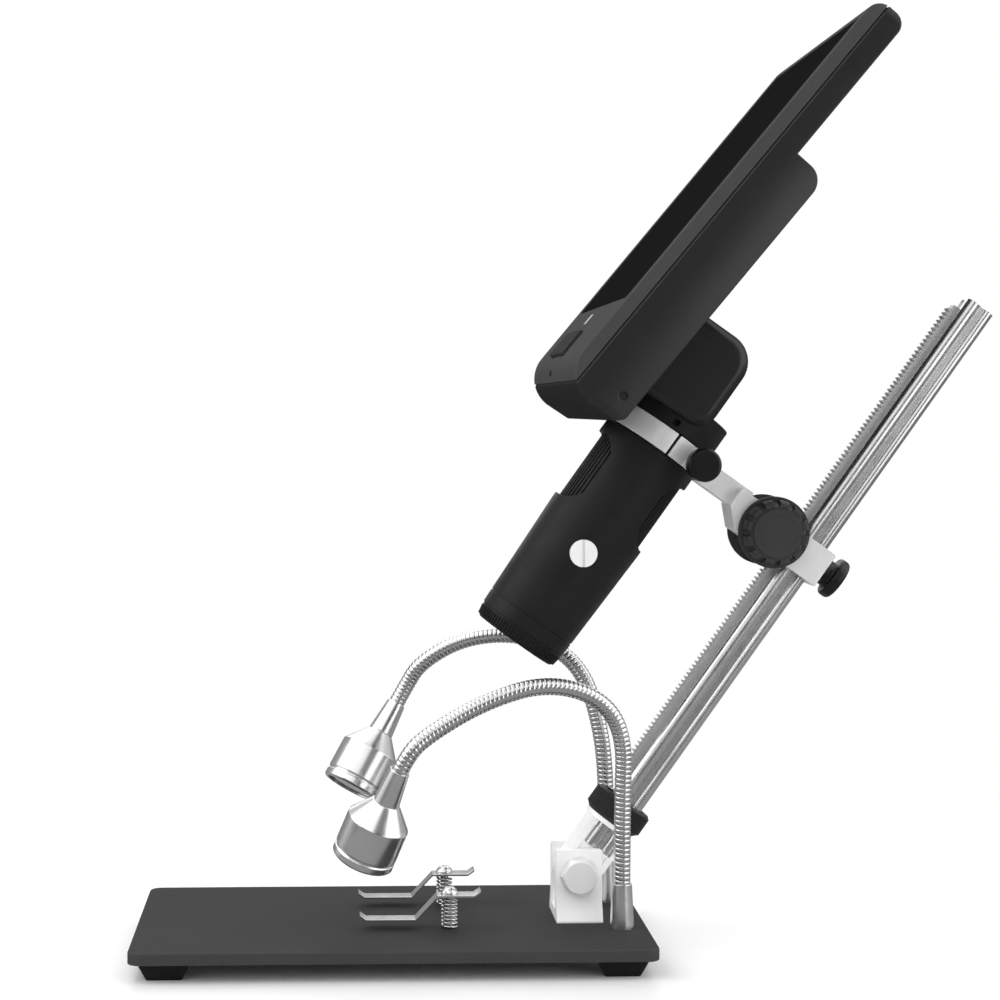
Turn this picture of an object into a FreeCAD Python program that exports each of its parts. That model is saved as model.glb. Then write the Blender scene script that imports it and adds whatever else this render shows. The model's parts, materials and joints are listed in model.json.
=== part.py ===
"""Digital microscope with a built-in display on a tilting rack-and-pinion stand.

Units are millimetres and degrees. The origin is the centre of the base at the level of its feet,
+X runs along the base towards the column, +Y across it towards the far lamp, +Z up.
Everything above the tilt bolt is drawn with the column upright and is then tilted about the bolt.
"""
import FreeCAD, Part
import math
import os

Vector = FreeCAD.Vector

# Base plate, feet and their screws
BASE_LENGTH = 200.0
BASE_WIDTH = 120.0
PLATE_THICKNESS = 5.0
PLATE_CORNER = 5.0
PLATE_EDGE_CHAMFER = 0.6
FOOT_HEIGHT = 7.0
FOOT_TOP = 20.0
FOOT_BOTTOM = 13.5
FOOT_INSET = 3.5
FOOT_SCREW_R = 1.5
FOOT_SCREW_HEAD_R = 2.8
FOOT_SCREW_HEAD_H = 1.6
FOOT_SCREW_SUNK = 3.4
FOOT_SCREW_BITE = 3.6

# Column tilt and the bracket that carries it
TILT = 35.4
BOLT_X = 74.2
BOLT_ABOVE_PLATE = 18.3
BRACKET_LENGTH = 18.3
BRACKET_FLOOR = 4.0
EAR_THICKNESS = 3.6
EAR_GAP = 16.4
EAR_TOP_ABOVE_BOLT = 10.0
EAR_FLARE = 4.2
EAR_FLARE_HEIGHT = 9.0
EAR_FOOT_EDGE = 1.2
EAR_CORNER = 1.2
BOLT_R = 4.0
BOLT_CLEARANCE = 0.05
BOLT_HEAD_FLATS = 13.0
BOLT_HEAD_H = 5.3
WASHER_R = 7.6
WASHER_H = 1.2
NUT_H = 6.4
BOLT_PROUD = 2.4
BRACKET_SCREW_R = 2.0
BRACKET_SCREW_HEAD_R = 3.6
BRACKET_SCREW_PITCH = 11.0

# Pivot block, column clamping nut and column
BLOCK_WIDTH = 16.0
BLOCK_DEPTH = 17.0
BLOCK_TOP = 22.0
BLOCK_PANEL_DEPTH = 0.8
BLOCK_PANEL_FRAME = 2.6
BLOCK_NOSE_R = 8.6
SEAT_R = 10.6
SEAT_TOP = 24.0
NUT_COLLAR_R = 12.45
NUT_COLLAR_TOP = 34.0
NUT_RIB_DEPTH = 0.5
NUT_RIB_COUNT = 36
NUT_COLLAR_CHAMFER = 1.4
NUT_LIP_GAP = 1.5
NUT_LIP_THICKNESS = 2.0
SPIGOT_WALL_CUT = 0.4
COLUMN_BOTTOM = 12.0
COLUMN_TOP = 276.5
COLUMN_BACK = 6.9
COLUMN_FRONT = 5.2
COLUMN_HALF = 8.0
COLUMN_GROOVE_HALF = 5.7
COLUMN_BACK_RIDGE = 6.9
COLUMN_BACK_HALF = 5.2
RIDGE_SPLIT_TOP = -0.9
RIDGE_SPLIT_BOTTOM = -2.6
RACK_HALF = 3.0
RACK_SEAT = 1.0
RACK_TIP = 9.1
RACK_FOOT = 38.0
RACK_TOP = 271.5
RACK_SCREW_R = 1.0
RACK_SCREW_HEAD_R = 1.8
RACK_SCREW_LENGTH = 6.0
RACK_SCREW_INSET = 8.0
SLIDE_CLEARANCE = 0.3
RUNNING_GAP = 0.3

# Rack and pinion
GEAR_MODULE = 0.6
PINION_TEETH = 24
GEAR_BACKLASH = 0.16
PINION_HALF_WIDTH = 3.6
SHAFT_R = 2.5
SHAFT_CLEARANCE = 0.05
BUSH_R = 4.0
BUSH_LENGTH = 5.0

# Carriage, arm and clamp ring, as heights along the column
CARRIAGE_BOTTOM = 147.0
CARRIAGE_TOP = 162.0
CARRIAGE_HALF = 11.0
CARRIAGE_BACK = 10.4
CARRIAGE_FRONT = 36.0
CARRIAGE_SLANT = 7.0
PINION_HEIGHT = 155.0
ARM_BOTTOM = 154.0
ARM_TOP = 163.6
ARM_HALF = 5.0
ARM_BITE = 6.0
KNOB_R = 14.2
KNOB_RIM_WIDTH = 2.2
KNOB_GRIP_R = 13.2
KNOB_GRIP_WIDTH = 7.0
KNOB_FACE_R = 9.6
KNOB_FACE_PROUD = 1.0
KNOB_NOTCHES = 12
KNOB_NOTCH_R = 2.0
KNOB_NOTCH_DEPTH = 1.1
KNOB_GAP = 0.5
KNOB_SHAFT_BITE = 6.5
LOCK_HEIGHT = 154.8
LOCK_STEM_R = 5.6
LOCK_HEAD_R = 8.4
LOCK_HEAD_H = 4.4
LOCK_FACE = 19.3
LOCK_SCREW_R = 2.5
LOCK_NOTCHES = 16

# Microscope barrel, as distances from the bolt and heights along the column
BARREL_REACH = 73.5
LENS_RING_BOTTOM = 60.7
LENS_RING_TOP = 66.5
LENS_RING_R0 = 18.1
LENS_RING_R1 = 19.0
LENS_MOUTH_R = 13.0
LENS_RIBS = 40
BARREL_R0 = 19.1
BARREL_R1 = 20.75
BARREL_FLARE_TOP = 116.0
PARTING_HEIGHT = 72.0
PARTING_WIDTH = 0.5
PARTING_DEPTH = 0.35
GRIP_BOTTOM = 118.5
GRIP_TOP = 148.5
GRIP_FLOOR_R = 17.3
GRIP_PAD_R = 18.4
GRIP_RIB_PROUD = 0.5
GRIP_RIB_COUNT = 60
GRIP_HALF = 16.4
GRIP_CORNER = 9.0
PAD_GAP = 0.15
WAIST_BOTTOM = 154.6
WAIST_TOP = 164.4
WAIST_R = 18.6
BARREL_BORE_R = 15.6
NECK_R = 21.5
NECK_TOP = 177.0
NECK_SLOT = 2.6
NECK_SLOT_HEIGHT = 168.0
NECK_SLOT_OFFSET = 6.0
NECK_SLOT_DEPTH = 3.5
PLUG_HEIGHT = 104.6
PLUG_R = 5.4
PLUG_SLOT = 1.1
PLUG_PROUD = 0.4
PLUG_DEPTH = 2.0

# Clamp ring
RING_R = 21.8
RING_BOTTOM = 154.9
RING_TOP = 164.1
RING_CLEARANCE = 0.05
RING_SLOT = 1.1
RING_SLOT_BEHIND = 4.0
RING_BOSS_BEHIND = 17.5
RING_BOSS_HALF = 6.0
RING_BOSS_FACE = 18.8
RING_SCREW_TIP = 10.9
RING_BOSS_BACK = 3.0
RING_KNOB_R = 6.55
RING_KNOB_H = 9.0
RING_KNOB_NECK = 4.5
RING_KNOB_NECK_H = 3.0
RING_SCREW_R = 2.0

# Optics and boards in the barrel
LENS_TUBE_R = 12.4
LENS_TUBE_WALL = 2.2
LENS_TUBE_LENGTH = 30.0
LENS_THICKNESS = 3.2
LIGHT_BOARD_R = 15.2
LIGHT_BOARD_H = 1.4
LED_R = 1.2
LED_COUNT = 8
SENSOR_HALF = 9.0
SENSOR_BOARD_H = 1.6
SENSOR_CHIP_HALF = 4.0
SENSOR_HOLDER_H = 3.0

# Link housing between barrel and display
LINK_BOTTOM = 172.0
LINK_TOP = 212.0
LINK_BEHIND = 15.5
LINK_AHEAD = 44.5
LINK_HALF = 26.0
LINK_CORNER = 9.0
LINK_EDGE = 2.5

# Display head: u runs up the screen, v runs backwards from its face
DISPLAY_WIDTH = 172.0
DISPLAY_LEAN = 4.4
DISPLAY_FOOT_HEIGHT = 164.4
DISPLAY_FOOT_AHEAD = 50.9
FACE_TOP = 160.0
SHELL_TOP = 166.5
SHELL_FOOT = 14.0
SLAB_DEPTH = 14.3
HUMP_DEPTH = 28.0
HUMP_TOP = 104.0
HUMP_STEP_R = 7.0
SLAB_CORNER = 5.5
DISPLAY_CORNER = 9.0
BEZEL_DEPTH = 5.0
SEAM_WIDTH = 0.45
SEAM_DEPTH = 0.45
SHELL_WALL = 2.4
GLASS_BOTTOM = 25.0
GLASS_TOP = 158.0
GLASS_SIDE_MARGIN = 6.5
GLASS_THICKNESS = 1.4
GLASS_SUNK = 0.2
GLASS_CORNER = 3.0
PANEL_THICKNESS = 3.2
PANEL_MARGIN = 3.0
BOARD_THICKNESS = 1.6
BOARD_SIDE_GAP = 7.0
BOARD_BOTTOM = -5.0
BOARD_TOP = 90.0
BATTERY_WIDTH = 62.0
BATTERY_HEIGHT = 50.0
BATTERY_THICKNESS = 8.0
BATTERY_BOTTOM = 26.0
KEYPAD_Y = 8.0
KEYPAD_WIDTH = 48.0
KEY_COUNT = 3
KEY_BOTTOM = -1.0
KEY_TOP = 11.0
KEY_GAP = 0.5
KEY_PROUD = 1.6
KEY_TRAVEL = 0.5
KEY_FLANGE = 0.9
KEY_FLANGE_GAP = 0.1
KEY_FLANGE_LIP = 1.2
MARK_BOTTOM = 16.0
MARK_TOP = 21.0
MARK_HALF = 4.0
MARK_THICKNESS = 0.6
CARD_SLOT_LOW = -8.6
CARD_SLOT_HIGH = -6.6
CARD_SLOT_Y = 14.0
CARD_SLOT_WIDTH = 13.0
CARD_SLOT_DEPTH = 4.0
CORNER_HOLE_R = 1.5
CORNER_HOLE_DEPTH = 1.6
CORNER_HOLE_U = -4.0
CORNER_HOLE_V = 22.0
SHELL_SCREW_R = 1.5
SHELL_SCREW_HEAD_R = 2.6
SHELL_SCREW_HEAD_H = 1.4
SHELL_SCREW_SUNK = 1.8
POST_R = 3.4
POST_SIDE_GAP = 33.0
POST_LOW = 4.0
POST_HIGH = 82.0
JACK_R = 2.75
JACK_BODY = 9.0
JACK_LENGTH = 12.0
JACK_U = 30.0
JACK_DEPTH = 9.0

# Goosenecks and lamps: X and Z of the centre line, which splays outwards to the lamp
NECK_BASE_X = 89.6
NECK_BASE_Y = 25.0
LAMP_Y = 36.0
NECK_TUBE_R = 3.3
NECK_BORE_R = 1.6
NECK_RIB_PITCH = 7.0
NECK_RIB_DEPTH = 0.45
FERRULE_H = 17.6
FERRULE_R0 = 4.75
FERRULE_R1 = 3.9
FERRULE_BORE_GAP = 0.05
LAMP_FERRULE_R0 = 3.9
LAMP_FERRULE_R1 = 5.2
LAMP_FERRULE_H = 14.0
NECK_BITE = 6.0
NECK_LEAD = 7.0
LAMP_R = 12.3
LAMP_CONE = 8.0
LAMP_BODY = 18.0
LAMP_TOP_R = 5.4
LAMP_WALL = 1.8
LAMP_LENS_H = 2.4
LAMP_LENS_SUNK = 1.0
LAMP_BOARD_H = 1.6
LAMP_GROOVE = 0.5
NEAR_ROUTE = [(NECK_BASE_X, 60.0), (90.6, 88.0), (80.0, 103.5), (58.5, 109.0), (34.5, 102.0),
              (14.0, 90.5), (2.8, 77.5)]
FAR_ROUTE = [(NECK_BASE_X, 56.0), (87.2, 84.0), (79.0, 110.0), (57.6, 121.6), (33.0, 120.5),
             (13.5, 109.5), (3.8, 92.5)]
NEAR_LAMP_END = (-12.0, 40.6)
FAR_LAMP_END = (-16.7, 56.6)

# Stage clips
CLIP_X = 22.5
CLIP_Y = 21.0
CLIP_SHEET = 0.9
CLIP_WIDTH = 8.0
CLIP_LOW = 3.2
CLIP_HIGH = 12.4
CLIP_TOE = -12.6
CLIP_FLAT_START = -10.0
CLIP_RAMP_START = 9.0
CLIP_RAMP_END = 17.6
CLIP_FLAT_END = 32.0
CLIP_HEEL = 34.6
CLIP_TOE_LIFT = 1.8
CLIP_SCREW_R = 1.6
CLIP_HEAD_R = 3.4
CLIP_HEAD_H = 2.6
CLIP_SPRING_R = 2.9
CLIP_SPRING_WIRE = 0.4
CLIP_SPRING_TURNS = 5
CLIP_SPRING_GAP = 0.15
CLIP_NUT_H = 2.4

# Heights that follow from the sizes above
PLATE_TOP = FOOT_HEIGHT + PLATE_THICKNESS
BOLT_Z = PLATE_TOP + BOLT_ABOVE_PLATE
BARREL_X = BOLT_X - BARREL_REACH
PINION_R = GEAR_MODULE * PINION_TEETH / 2
PINION_REACH = RACK_TIP - GEAR_MODULE + PINION_R + GEAR_BACKLASH / 2
BOLT_POINT = Vector(BOLT_X, 0, BOLT_Z)
UP = Vector(0, 0, 1)
ACROSS = Vector(0, 1, 0)


def box(x0, x1, y0, y1, z0, z1):
    """A box between two corners."""
    return Part.makeBox(x1 - x0, y1 - y0, z1 - z0, Vector(x0, y0, z0))


def cylinder(radius, start, direction, length):
    """A cylinder from a start point along a direction."""
    return Part.makeCylinder(radius, length, Vector(*start), Vector(*direction))


def face_of(points):
    """A flat face inside a closed run of straight edges."""
    return Part.Face(Part.makePolygon(points + [points[0]]))


def rounded(shape, radius, chosen):
    """Fillet the edges for which the chosen test is true."""
    edges = [edge for edge in shape.Edges if chosen(edge)]
    return shape.makeFillet(radius, edges) if edges else shape


def runs_along(edge, axis):
    """True when a straight edge is parallel to the axis."""
    if len(edge.Vertexes) < 2 or edge.Curve.TypeId != "Part::GeomLine":
        return False
    run = edge.Vertexes[1].Point - edge.Vertexes[0].Point
    return abs(abs(run.normalize().dot(axis)) - 1) < 1e-6


def turned(points, x):
    """Revolve (radius, height) points about the vertical line at x."""
    wire = [Vector(x + radius, 0, height) for radius, height in points]
    return face_of(wire).revolve(Vector(x, 0, 0), UP, 360)


def rounded_plate(x0, x1, y0, y1, z0, z1, corner):
    """A plate with rounded vertical corners."""
    return rounded(box(x0, x1, y0, y1, z0, z1), corner, lambda e: runs_along(e, UP))


def upright(height):
    """The level of a height along the column while it stands upright."""
    return BOLT_Z + height


def tilted(shape):
    """Tilt a shape drawn with the column upright about the bolt."""
    return shape.rotate(BOLT_POINT, ACROSS, TILT)


def hexagon(flats, x, z, y0, y1):
    """A hexagonal bar along Y."""
    radius = flats / math.sqrt(3)
    corners = [Vector(x + radius * math.cos(math.radians(60 * i)), y0,
                      z + radius * math.sin(math.radians(60 * i))) for i in range(6)]
    return face_of(corners).extrude(Vector(0, y1 - y0, 0))


def cut_all(shape, tools):
    """Cut several tools from a shape at once."""
    return shape.cut(Part.makeCompound(tools))


def ribbed_outline(x, outer, inner, count, z):
    """A closed outline of shallow straight-sided ribs round a vertical axis."""
    step = 2 * math.pi / count
    points = []
    for i in range(count):
        for share, radius in ((-0.30, inner), (-0.18, outer), (0.18, outer), (0.30, inner)):
            angle = (i + share) * step
            points.append(Vector(x + radius * math.cos(angle), radius * math.sin(angle), z))
    return face_of(points)


def base_parts():
    """Plate, four feet and their screws."""
    half_l = BASE_LENGTH / 2
    half_w = BASE_WIDTH / 2
    plate = rounded_plate(-half_l, half_l, -half_w, half_w, FOOT_HEIGHT, PLATE_TOP, PLATE_CORNER)
    rim = [e for e in plate.Edges if abs(e.BoundBox.ZMin - PLATE_TOP) < 1e-6
           and abs(e.BoundBox.ZMax - PLATE_TOP) < 1e-6]
    plate = plate.makeChamfer(PLATE_EDGE_CHAMFER, rim)
    feet = []
    screws = []
    holes = []
    for side_x in (-1, 1):
        for side_y in (-1, 1):
            x = side_x * (half_l - FOOT_INSET - FOOT_TOP / 2)
            y = side_y * (half_w - FOOT_INSET - FOOT_TOP / 2)
            sections = []
            for size, z in ((FOOT_BOTTOM, 0), (FOOT_TOP, FOOT_HEIGHT)):
                corners = [Vector(x + sx * size / 2, y + sy * size / 2, z)
                           for sx, sy in ((-1, -1), (1, -1), (1, 1), (-1, 1))]
                sections.append(Part.makePolygon(corners + [corners[0]]))
            foot = Part.makeLoft(sections, True, True)
            well = cylinder(FOOT_SCREW_HEAD_R + 0.3, (x, y, 0), (0, 0, 1), FOOT_SCREW_SUNK)
            shank = cylinder(FOOT_SCREW_R, (x, y, 0), (0, 0, 1), FOOT_HEIGHT + FOOT_SCREW_BITE)
            feet.append(foot.cut(well).cut(shank))
            head = cylinder(FOOT_SCREW_HEAD_R, (x, y, FOOT_SCREW_SUNK - FOOT_SCREW_HEAD_H),
                            (0, 0, 1), FOOT_SCREW_HEAD_H)
            stem = cylinder(FOOT_SCREW_R, (x, y, FOOT_SCREW_SUNK - FOOT_SCREW_HEAD_H),
                            (0, 0, 1), FOOT_SCREW_HEAD_H + FOOT_HEIGHT - FOOT_SCREW_SUNK
                            + FOOT_SCREW_BITE)
            screws.append(head.fuse(stem).removeSplitter())
            holes.append(shank)
    return plate, holes, feet, screws


def bracket_parts():
    """U-bracket with flared feet, its bolt, washers, nut and the screws from below."""
    outer = EAR_GAP / 2 + EAR_THICKNESS
    foot = outer + EAR_FLARE
    ear_top = BOLT_Z + EAR_TOP_ABOVE_BOLT
    floor_top = PLATE_TOP + BRACKET_FLOOR
    flare_top = PLATE_TOP + EAR_FLARE_HEIGHT
    section = [(-foot, PLATE_TOP), (foot, PLATE_TOP), (foot, PLATE_TOP + EAR_FOOT_EDGE), (outer, flare_top),
               (outer, ear_top), (EAR_GAP / 2, ear_top), (EAR_GAP / 2, floor_top),
               (-EAR_GAP / 2, floor_top), (-EAR_GAP / 2, ear_top), (-outer, ear_top),
               (-outer, flare_top), (-foot, PLATE_TOP + EAR_FOOT_EDGE)]
    x0 = BOLT_X - BRACKET_LENGTH / 2
    wire = [Vector(x0, y, z) for y, z in section]
    bracket = face_of(wire).extrude(Vector(BRACKET_LENGTH, 0, 0))
    ear_edges = [e for e in bracket.Edges if runs_along(e, ACROSS)
                 and abs(e.BoundBox.ZMax - ear_top) < 1e-6 and e.Length < EAR_THICKNESS + 0.1]
    bracket = bracket.makeFillet(EAR_CORNER, ear_edges)
    bolt_hole = cylinder(BOLT_R + BOLT_CLEARANCE, (BOLT_X, -foot, BOLT_Z), (0, 1, 0), 2 * foot)
    screws = []
    holes = []
    for side in (-1, 1):
        x = BOLT_X + side * BRACKET_SCREW_PITCH / 2
        holes.append(cylinder(BRACKET_SCREW_R, (x, 0, 0), (0, 0, 1), floor_top))
        head = Part.makeCone(BRACKET_SCREW_HEAD_R, BRACKET_SCREW_R,
                             BRACKET_SCREW_HEAD_R - BRACKET_SCREW_R, Vector(x, 0, FOOT_HEIGHT))
        stem = cylinder(BRACKET_SCREW_R, (x, 0, FOOT_HEIGHT), (0, 0, 1),
                        floor_top - 0.6 - FOOT_HEIGHT)
        screws.append(head.fuse(stem))
    bracket = cut_all(bracket, [bolt_hole] + holes)
    head = hexagon(BOLT_HEAD_FLATS, BOLT_X, BOLT_Z, -outer - WASHER_H - BOLT_HEAD_H,
                   -outer - WASHER_H)
    head = head.common(Part.makeCone(BOLT_HEAD_FLATS / 2 * 0.97, BOLT_HEAD_FLATS / 2 * 1.35,
                                     BOLT_HEAD_H, Vector(BOLT_X, -outer - WASHER_H - BOLT_HEAD_H,
                                                         BOLT_Z), ACROSS))
    shank_end = outer + WASHER_H + NUT_H + BOLT_PROUD
    shank = cylinder(BOLT_R, (BOLT_X, -outer - WASHER_H, BOLT_Z), (0, 1, 0),
                     shank_end + outer + WASHER_H)
    bolt = head.fuse(shank)
    washers = []
    for y in (-outer - WASHER_H, outer):
        ring = cylinder(WASHER_R, (BOLT_X, y, BOLT_Z), (0, 1, 0), WASHER_H)
        washers.append(ring.cut(cylinder(BOLT_R + BOLT_CLEARANCE, (BOLT_X, y, BOLT_Z), (0, 1, 0),
                                         WASHER_H)))
    nut = hexagon(BOLT_HEAD_FLATS, BOLT_X, BOLT_Z, outer + WASHER_H, outer + WASHER_H + NUT_H)
    nut = nut.cut(cylinder(BOLT_R, (BOLT_X, outer + WASHER_H, BOLT_Z), (0, 1, 0), NUT_H))
    return bracket, holes, bolt, washers, nut, screws


def pivot_block():
    """Block between the bracket ears: round nose below, framed recess on each side, spigot."""
    half = BLOCK_WIDTH / 2
    depth = BLOCK_DEPTH / 2
    top = upright(BLOCK_TOP)
    body = box(BOLT_X - depth, BOLT_X + depth, -half, half, BOLT_Z, top)
    nose = cylinder(BLOCK_NOSE_R, (BOLT_X, -half, BOLT_Z), (0, 1, 0), BLOCK_WIDTH)
    body = body.fuse(nose).removeSplitter()
    for side in (-1, 1):
        y = side * half
        inner = depth - BLOCK_PANEL_FRAME
        panel = box(BOLT_X - inner, BOLT_X + inner, min(y, y - side * BLOCK_PANEL_DEPTH),
                    max(y, y - side * BLOCK_PANEL_DEPTH), BOLT_Z + BOLT_R + 3.4,
                    top - BLOCK_PANEL_FRAME)
        body = body.cut(panel)
    seat = cylinder(SEAT_R, (BOLT_X, 0, top), (0, 0, 1), SEAT_TOP - BLOCK_TOP)
    spigot = cylinder(SEAT_R - SPIGOT_WALL_CUT, (BOLT_X, 0, upright(SEAT_TOP)), (0, 0, 1),
                      NUT_COLLAR_TOP - SEAT_TOP - NUT_LIP_THICKNESS)
    body = body.fuse(seat).fuse(spigot).removeSplitter()
    body = body.cut(column_envelope(COLUMN_BOTTOM, NUT_COLLAR_TOP))
    bolt_hole = cylinder(BOLT_R + BOLT_CLEARANCE, (BOLT_X, -half, BOLT_Z), (0, 1, 0), BLOCK_WIDTH)
    return body.cut(bolt_hole)


def column_envelope(bottom, top):
    """The column's outline as one solid, used for the socket that holds its foot."""
    front = COLUMN_FRONT
    return box(BOLT_X - front, BOLT_X + COLUMN_BACK, -COLUMN_HALF, COLUMN_HALF, upright(bottom),
               upright(top))


def column_profile():
    """Extruded column with two rounded ridges on each side and a channel for the rack."""
    z = upright(COLUMN_BOTTOM)

    def at(reach, y):
        return Vector(BOLT_X - reach, y, z)

    def side(sign):
        ridge_top = (COLUMN_FRONT + RIDGE_SPLIT_TOP) / 2
        ridge_low = (RIDGE_SPLIT_BOTTOM - COLUMN_BACK) / 2
        groove = sign * COLUMN_GROOVE_HALF
        return [Part.LineSegment(at(COLUMN_FRONT, sign * RACK_HALF), at(COLUMN_FRONT, groove)),
                Part.Arc(at(COLUMN_FRONT, groove), at(ridge_top, sign * COLUMN_HALF),
                         at(RIDGE_SPLIT_TOP, groove)),
                Part.LineSegment(at(RIDGE_SPLIT_TOP, groove), at(RIDGE_SPLIT_BOTTOM, groove)),
                Part.Arc(at(RIDGE_SPLIT_BOTTOM, groove), at(ridge_low, sign * COLUMN_BACK_RIDGE),
                         at(-COLUMN_BACK, sign * COLUMN_BACK_HALF))]
    back = Part.LineSegment(at(-COLUMN_BACK, COLUMN_BACK_HALF),
                            at(-COLUMN_BACK, -COLUMN_BACK_HALF))
    seat = COLUMN_FRONT - RACK_SEAT
    channel = [Part.LineSegment(at(COLUMN_FRONT, -RACK_HALF), at(seat, -RACK_HALF)),
               Part.LineSegment(at(seat, -RACK_HALF), at(seat, RACK_HALF)),
               Part.LineSegment(at(seat, RACK_HALF), at(COLUMN_FRONT, RACK_HALF))]
    edges = [curve.toShape() for curve in side(1) + [back] + side(-1) + channel]
    wire = Part.Wire(Part.__sortEdges__(edges))
    column = Part.Face(wire).extrude(Vector(0, 0, COLUMN_TOP - COLUMN_BOTTOM))
    return column


def rack_tooth_levels():
    """Heights of the rack's tooth centres, phased so that a gap faces the pinion at rest."""
    pitch = math.pi * GEAR_MODULE
    first = math.ceil((RACK_FOOT + pitch - PINION_HEIGHT) / pitch - 0.5)
    last = math.floor((RACK_TOP - pitch - PINION_HEIGHT) / pitch - 0.5)
    return [PINION_HEIGHT + (i + 0.5) * pitch for i in range(first, last + 1)]


def rack_parts():
    """Toothed rack in the column's channel and the two screws that hold it."""
    pitch = math.pi * GEAR_MODULE
    root = RACK_TIP - 2.25 * GEAR_MODULE
    flank = math.tan(math.radians(20))
    half_root = pitch / 4 + 1.25 * GEAR_MODULE * flank - GEAR_BACKLASH / 2
    half_tip = pitch / 4 - GEAR_MODULE * flank - GEAR_BACKLASH / 2
    seat = COLUMN_FRONT - RACK_SEAT
    points = [(seat, RACK_FOOT), (root, RACK_FOOT)]
    for level in rack_tooth_levels():
        points += [(root, level - half_root), (RACK_TIP, level - half_tip),
                   (RACK_TIP, level + half_tip), (root, level + half_root)]
    points += [(root, RACK_TOP), (seat, RACK_TOP)]
    wire = [Vector(BOLT_X - reach, -RACK_HALF, upright(level)) for reach, level in points]
    rack = face_of(wire).extrude(Vector(0, 2 * RACK_HALF, 0))
    screws = []
    holes = []
    for level in (RACK_FOOT + RACK_SCREW_INSET, RACK_TOP - RACK_SCREW_INSET):
        start = (BOLT_X - RACK_TIP - 0.2, 0, upright(level))
        well = cylinder(RACK_SCREW_HEAD_R + 0.1, start, (1, 0, 0), RACK_TIP + 0.2 - root + 0.9)
        hole = cylinder(RACK_SCREW_R, start, (1, 0, 0), RACK_SCREW_LENGTH + 2.5)
        head = cylinder(RACK_SCREW_HEAD_R, (BOLT_X - root, 0, upright(level)), (1, 0, 0), 0.9)
        stem = cylinder(RACK_SCREW_R, (BOLT_X - root, 0, upright(level)), (1, 0, 0),
                        RACK_SCREW_LENGTH)
        rack = rack.cut(well).cut(hole)
        screws.append(head.fuse(stem).removeSplitter())
        holes.append(hole)
    return rack, holes, screws


def column_nut():
    """Ribbed clamping nut that closes the pivot block's socket on the column."""
    z0 = upright(SEAT_TOP)
    z1 = upright(NUT_COLLAR_TOP)
    bore = SEAT_R - SPIGOT_WALL_CUT + RUNNING_GAP
    body = ribbed_outline(BOLT_X, NUT_COLLAR_R, NUT_COLLAR_R - NUT_RIB_DEPTH, NUT_RIB_COUNT, z0)
    body = body.extrude(Vector(0, 0, z1 - z0))
    cone = Part.makeCone(NUT_COLLAR_R - NUT_COLLAR_CHAMFER, NUT_COLLAR_R + 0.2,
                         NUT_COLLAR_CHAMFER + 0.2, Vector(BOLT_X, 0, z0))
    top = Part.makeCone(NUT_COLLAR_R + 0.2, NUT_COLLAR_R - 0.8, 1.0, Vector(BOLT_X, 0, z1 - 1.0))
    middle = cylinder(NUT_COLLAR_R + 0.2, (BOLT_X, 0, z0 + NUT_COLLAR_CHAMFER + 0.2), (0, 0, 1),
                      z1 - z0 - NUT_COLLAR_CHAMFER - 1.2)
    body = body.common(cone.fuse(middle).fuse(top))
    bored = cylinder(bore, (BOLT_X, 0, z0), (0, 0, 1),
                     NUT_COLLAR_TOP - SEAT_TOP - NUT_LIP_THICKNESS + RUNNING_GAP)
    lip = cylinder(COLUMN_HALF + NUT_LIP_GAP, (BOLT_X, 0, z0), (0, 0, 1), z1 - z0)
    return body.cut(bored).cut(lip)


def pinion():
    """Spur pinion with straight-flanked teeth, a tooth pointing at the rack."""
    outer = PINION_R + GEAR_MODULE
    inner = PINION_R - 1.25 * GEAR_MODULE
    step = 2 * math.pi / PINION_TEETH
    half_pitch = math.pi * GEAR_MODULE / 4 - GEAR_BACKLASH / 2
    flank = math.tan(math.radians(20))
    half_root = (half_pitch + 0.9 * GEAR_MODULE * flank) / inner
    half_tip = (half_pitch - GEAR_MODULE * flank * 1.35) / outer
    half_mid = half_pitch / PINION_R
    x = BOLT_X - PINION_REACH
    z = upright(PINION_HEIGHT)
    points = []
    for i in range(PINION_TEETH):
        centre = i * step
        for share, radius in ((-half_root, inner), (-half_mid, PINION_R), (-half_tip, outer),
                              (half_tip, outer), (half_mid, PINION_R), (half_root, inner)):
            angle = centre + share
            points.append(Vector(x + radius * math.cos(angle), -PINION_HALF_WIDTH,
                                 z - radius * math.sin(angle)))
    return face_of(points).extrude(Vector(0, 2 * PINION_HALF_WIDTH, 0))


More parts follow.
